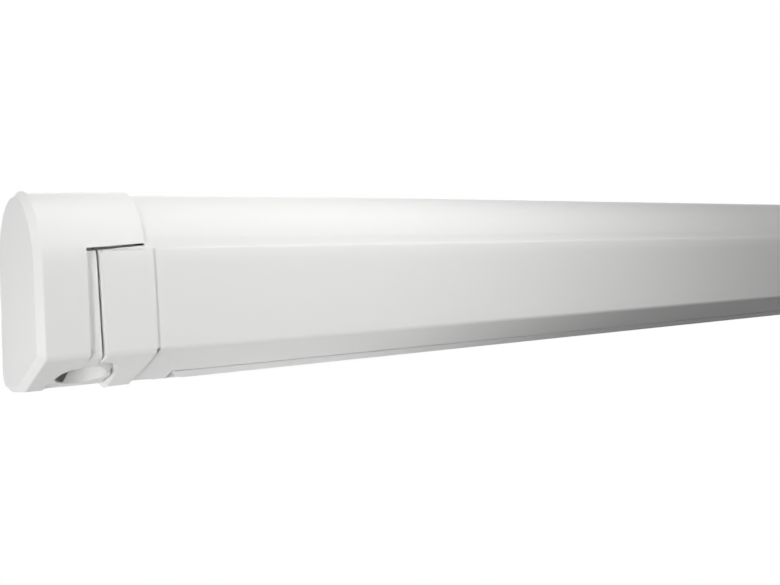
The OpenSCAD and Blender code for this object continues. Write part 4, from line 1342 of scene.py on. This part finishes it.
# %% Screws
BRACKET_X, BRACKET_D, BRACKET_Z = 0.85, 20, 0.6
SHOULDER_IN, SHOULDER_SEAT, SHOULDER_RISE = (19, 31), 15.6, 28 / 3
WRIST_IN, WRIST_SEAT, WRIST_RISE = 16.5, 64.2, 5


def add_screw(bm, seat, outward, length, head=HEAD_H):
    """One screw whose head sits on seat and looks outward."""
    one = screw(length, head)
    turn = Vector(outward).to_track_quat("Z", "Y").to_matrix().to_4x4()
    bmesh.ops.transform(one, matrix=Matrix.Translation(seat) @ turn, verts=one.verts)
    mesh = bpy.data.meshes.new("screw")
    one.to_mesh(mesh)
    one.free()
    bm.from_mesh(mesh)
    bpy.data.meshes.remove(mesh)


bracket, shoulder, wrist = bmesh.new(), bmesh.new(), bmesh.new()
for x in (-BRACKET_X, 0, BRACKET_X):
    add_screw(bracket, (x, front(BRACKET_D), up(BRACKET_Z)), (0, 0, -1), 10, HEAD_H / 4)
for side in (-1, 1):
    for inset in SHOULDER_IN:
        for rise in (-SHOULDER_RISE, SHOULDER_RISE):
            place = (-side * along(SHOULDER_U - inset), front(SHOULDER_SEAT), up(ARM_Z + rise))
            add_screw(shoulder, place, (0, -1, 0), 7)
    for rise in (-WRIST_RISE, WRIST_RISE):
        place = (-side * along(SHOULDER_U - WRIST_IN), front(WRIST_SEAT), up(ARM_Z + rise))
        add_screw(wrist, place, (0, 1, 0), 7)
make_piece("bracket_screws_turned", bracket, TURNED, "casing", "bracket_screws")
make_piece("shoulder_screws_turned", shoulder, TURNED, "casing", "shoulder_screws")
make_piece("wrist_screws_turned", wrist, TURNED, "lead_rail", "wrist_screws")

# %% [markdown]
# ## Camera
# The photograph was taken close to the left end, a little above the ridge, looking along the awning. The
# place and direction come from fitting the case's edges to the picture, and the lens from the focal length
# of that fit, in pixels.

# %% Camera
PHOTO_WIDTH, FOCAL_PIXELS, SENSOR = 780, 908.6, 36
EYE, LOOK, ROLL_DEGREES = (-1.42870, -0.62567, 0.07335), (0.57300, 0.81336, -0.10061), 0.85
camera = bpy.data.objects.new("camera", bpy.data.cameras.new("camera"))
camera.data.sensor_width = SENSOR
camera.data.lens = FOCAL_PIXELS / PHOTO_WIDTH * SENSOR
camera.data.clip_start = 0.01
camera.location = EYE
aim = Vector(LOOK).to_track_quat("-Z", "Y")
camera.rotation_euler = (aim @ Quaternion((0, 0, 1), math.radians(ROLL_DEGREES))).to_euler()
scene.collection.objects.link(camera)
scene.camera = camera
print("lens", round(camera.data.lens, 1), "mm")

# %% [markdown]
# ## Floor and sky
# The awning hangs on a wall, so the floor lies a door's height below it. Floor and sky show white to the
# camera and to reflections, and light the object only softly. The floor is a little less than white, so
# that it still shows the awning's shadow.

# %% Floor and sky
FLOOR_SHARE, FLOOR_HALF, FLOOR_Z, FLOOR_TINT = 0.85, 2.6, -2.3, (0.72, 0.72, 0.72)
SKY_LEVEL = 0.01


def seen(nodes):
    """1 for camera, glossy and transmitted rays, and 0 for the rest."""
    path = nodes.node("LightPath").socket.node.outputs
    camera_ray, glossy, through = [
        Wire(nodes, path[name]) for name in ("Is Camera Ray", "Is Glossy Ray", "Is Transmission Ray")
    ]
    return (camera_ray + glossy + through).maths("MINIMUM", 1.0)


pale = Finish("pale_floor", 0.8)
pale.paint(Base_Color=FLOOR_TINT)
white = pale.node("Emission", None, {"Color": (1, 1, 1), "Strength": 1.0})
plain = Wire(pale, pale.shader.outputs[0])
mixed = pale.node("MixShader", None, {0: seen(pale) * FLOOR_SHARE, 1: plain, 2: white})
pale.feed(pale.tree.nodes["Material Output"].inputs["Surface"], mixed)
bm = bmesh.new()
bmesh.ops.create_grid(bm, x_segments=1, y_segments=1, size=FLOOR_HALF)
bmesh.ops.translate(bm, vec=(0, 0, FLOOR_Z), verts=bm.verts)
add_object("floor", bm, pale.material)

scene.world = bpy.data.worlds.new("studio")
scene.world.use_nodes = True
sky = Nodes(scene.world.node_tree)
background = sky.tree.nodes["Background"].inputs
sky.feed(background["Color"], (1, 1, 1))
sky.feed(background["Strength"], seen(sky).maths("MAXIMUM", SKY_LEVEL))
print("floor", FLOOR_Z, "m, sky lights at", SKY_LEVEL)

# %% [markdown]
# ## Lamps
# In the photograph the light is soft and close to the left end, and falls off along the case. Six small
# lamps near that end light its front, its corner, its end face, its crown and its bevel, because each has its
# own level there. Five large lamps further off light the middle, the back, the far end and the opened cloth.

# %% Lamps


def lamp(name, place, target, size, power, spread=180):
    """A round soft lamp, with its size in metres, its power in watts and its spread in degrees."""
    data = bpy.data.lights.new(name, "AREA")
    data.shape, data.size, data.energy = "DISK", size, power
    data.spread = math.radians(spread)
    made = bpy.data.objects.new(name, data)
    made.location = place
    aim = Vector(target) - Vector(place)
    made.rotation_euler = aim.to_track_quat("-Z", "Y").to_euler()
    scene.collection.objects.link(made)


lamp("key", (-1.1, -0.5, 0.4), (-1.1, -0.09, 0.06), 0.35, 0.29, 90)
lamp("key_along", (-0.9, -0.75, 0.26), (-0.9, -0.09, 0.03), 0.4, 0.29, 85)
lamp("corner", (-1.91, -0.63, -0.12), (-1.27, -0.08, -0.01), 0.25, 0.42, 60)
lamp("side", (-2.1, -0.02, -0.25), (-1.3, -0.06, -0.02), 0.5, 1.0, 100)
lamp("top", (-1.25, -0.1, 0.7), (-1.22, -0.06, 0.05), 0.4, 0.85, 120)
lamp("under", (-1.12, -0.13, -0.4), (-1.12, -0.09, -0.04), 0.25, 0.23, 100)
lamp("middle", (0.7, -1.6, 1.5), (0.5, -0.3, 0.0), 1.6, 10)
lamp("back", (0, 1.9, 0.3), (0, 0, 0), 2.2, 13, 70)
lamp("far_end", (2.1, -0.75, 0.6), (1.2, -0.05, 0), 0.7, 4, 110)
lamp("front_far", (0.2, -3.9, 2.6), (0, -0.8, -0.3), 2.5, 16)
lamp("overhead", (0, -1.3, 2.6), (0, -1.1, 0), 2.0, 9)
print("lamps:", [light.name for light in bpy.data.lights])

# %% [markdown]
# ## Hidden CAD nodes
# The CAD nodes that the pieces stand for were hidden as each piece was made.
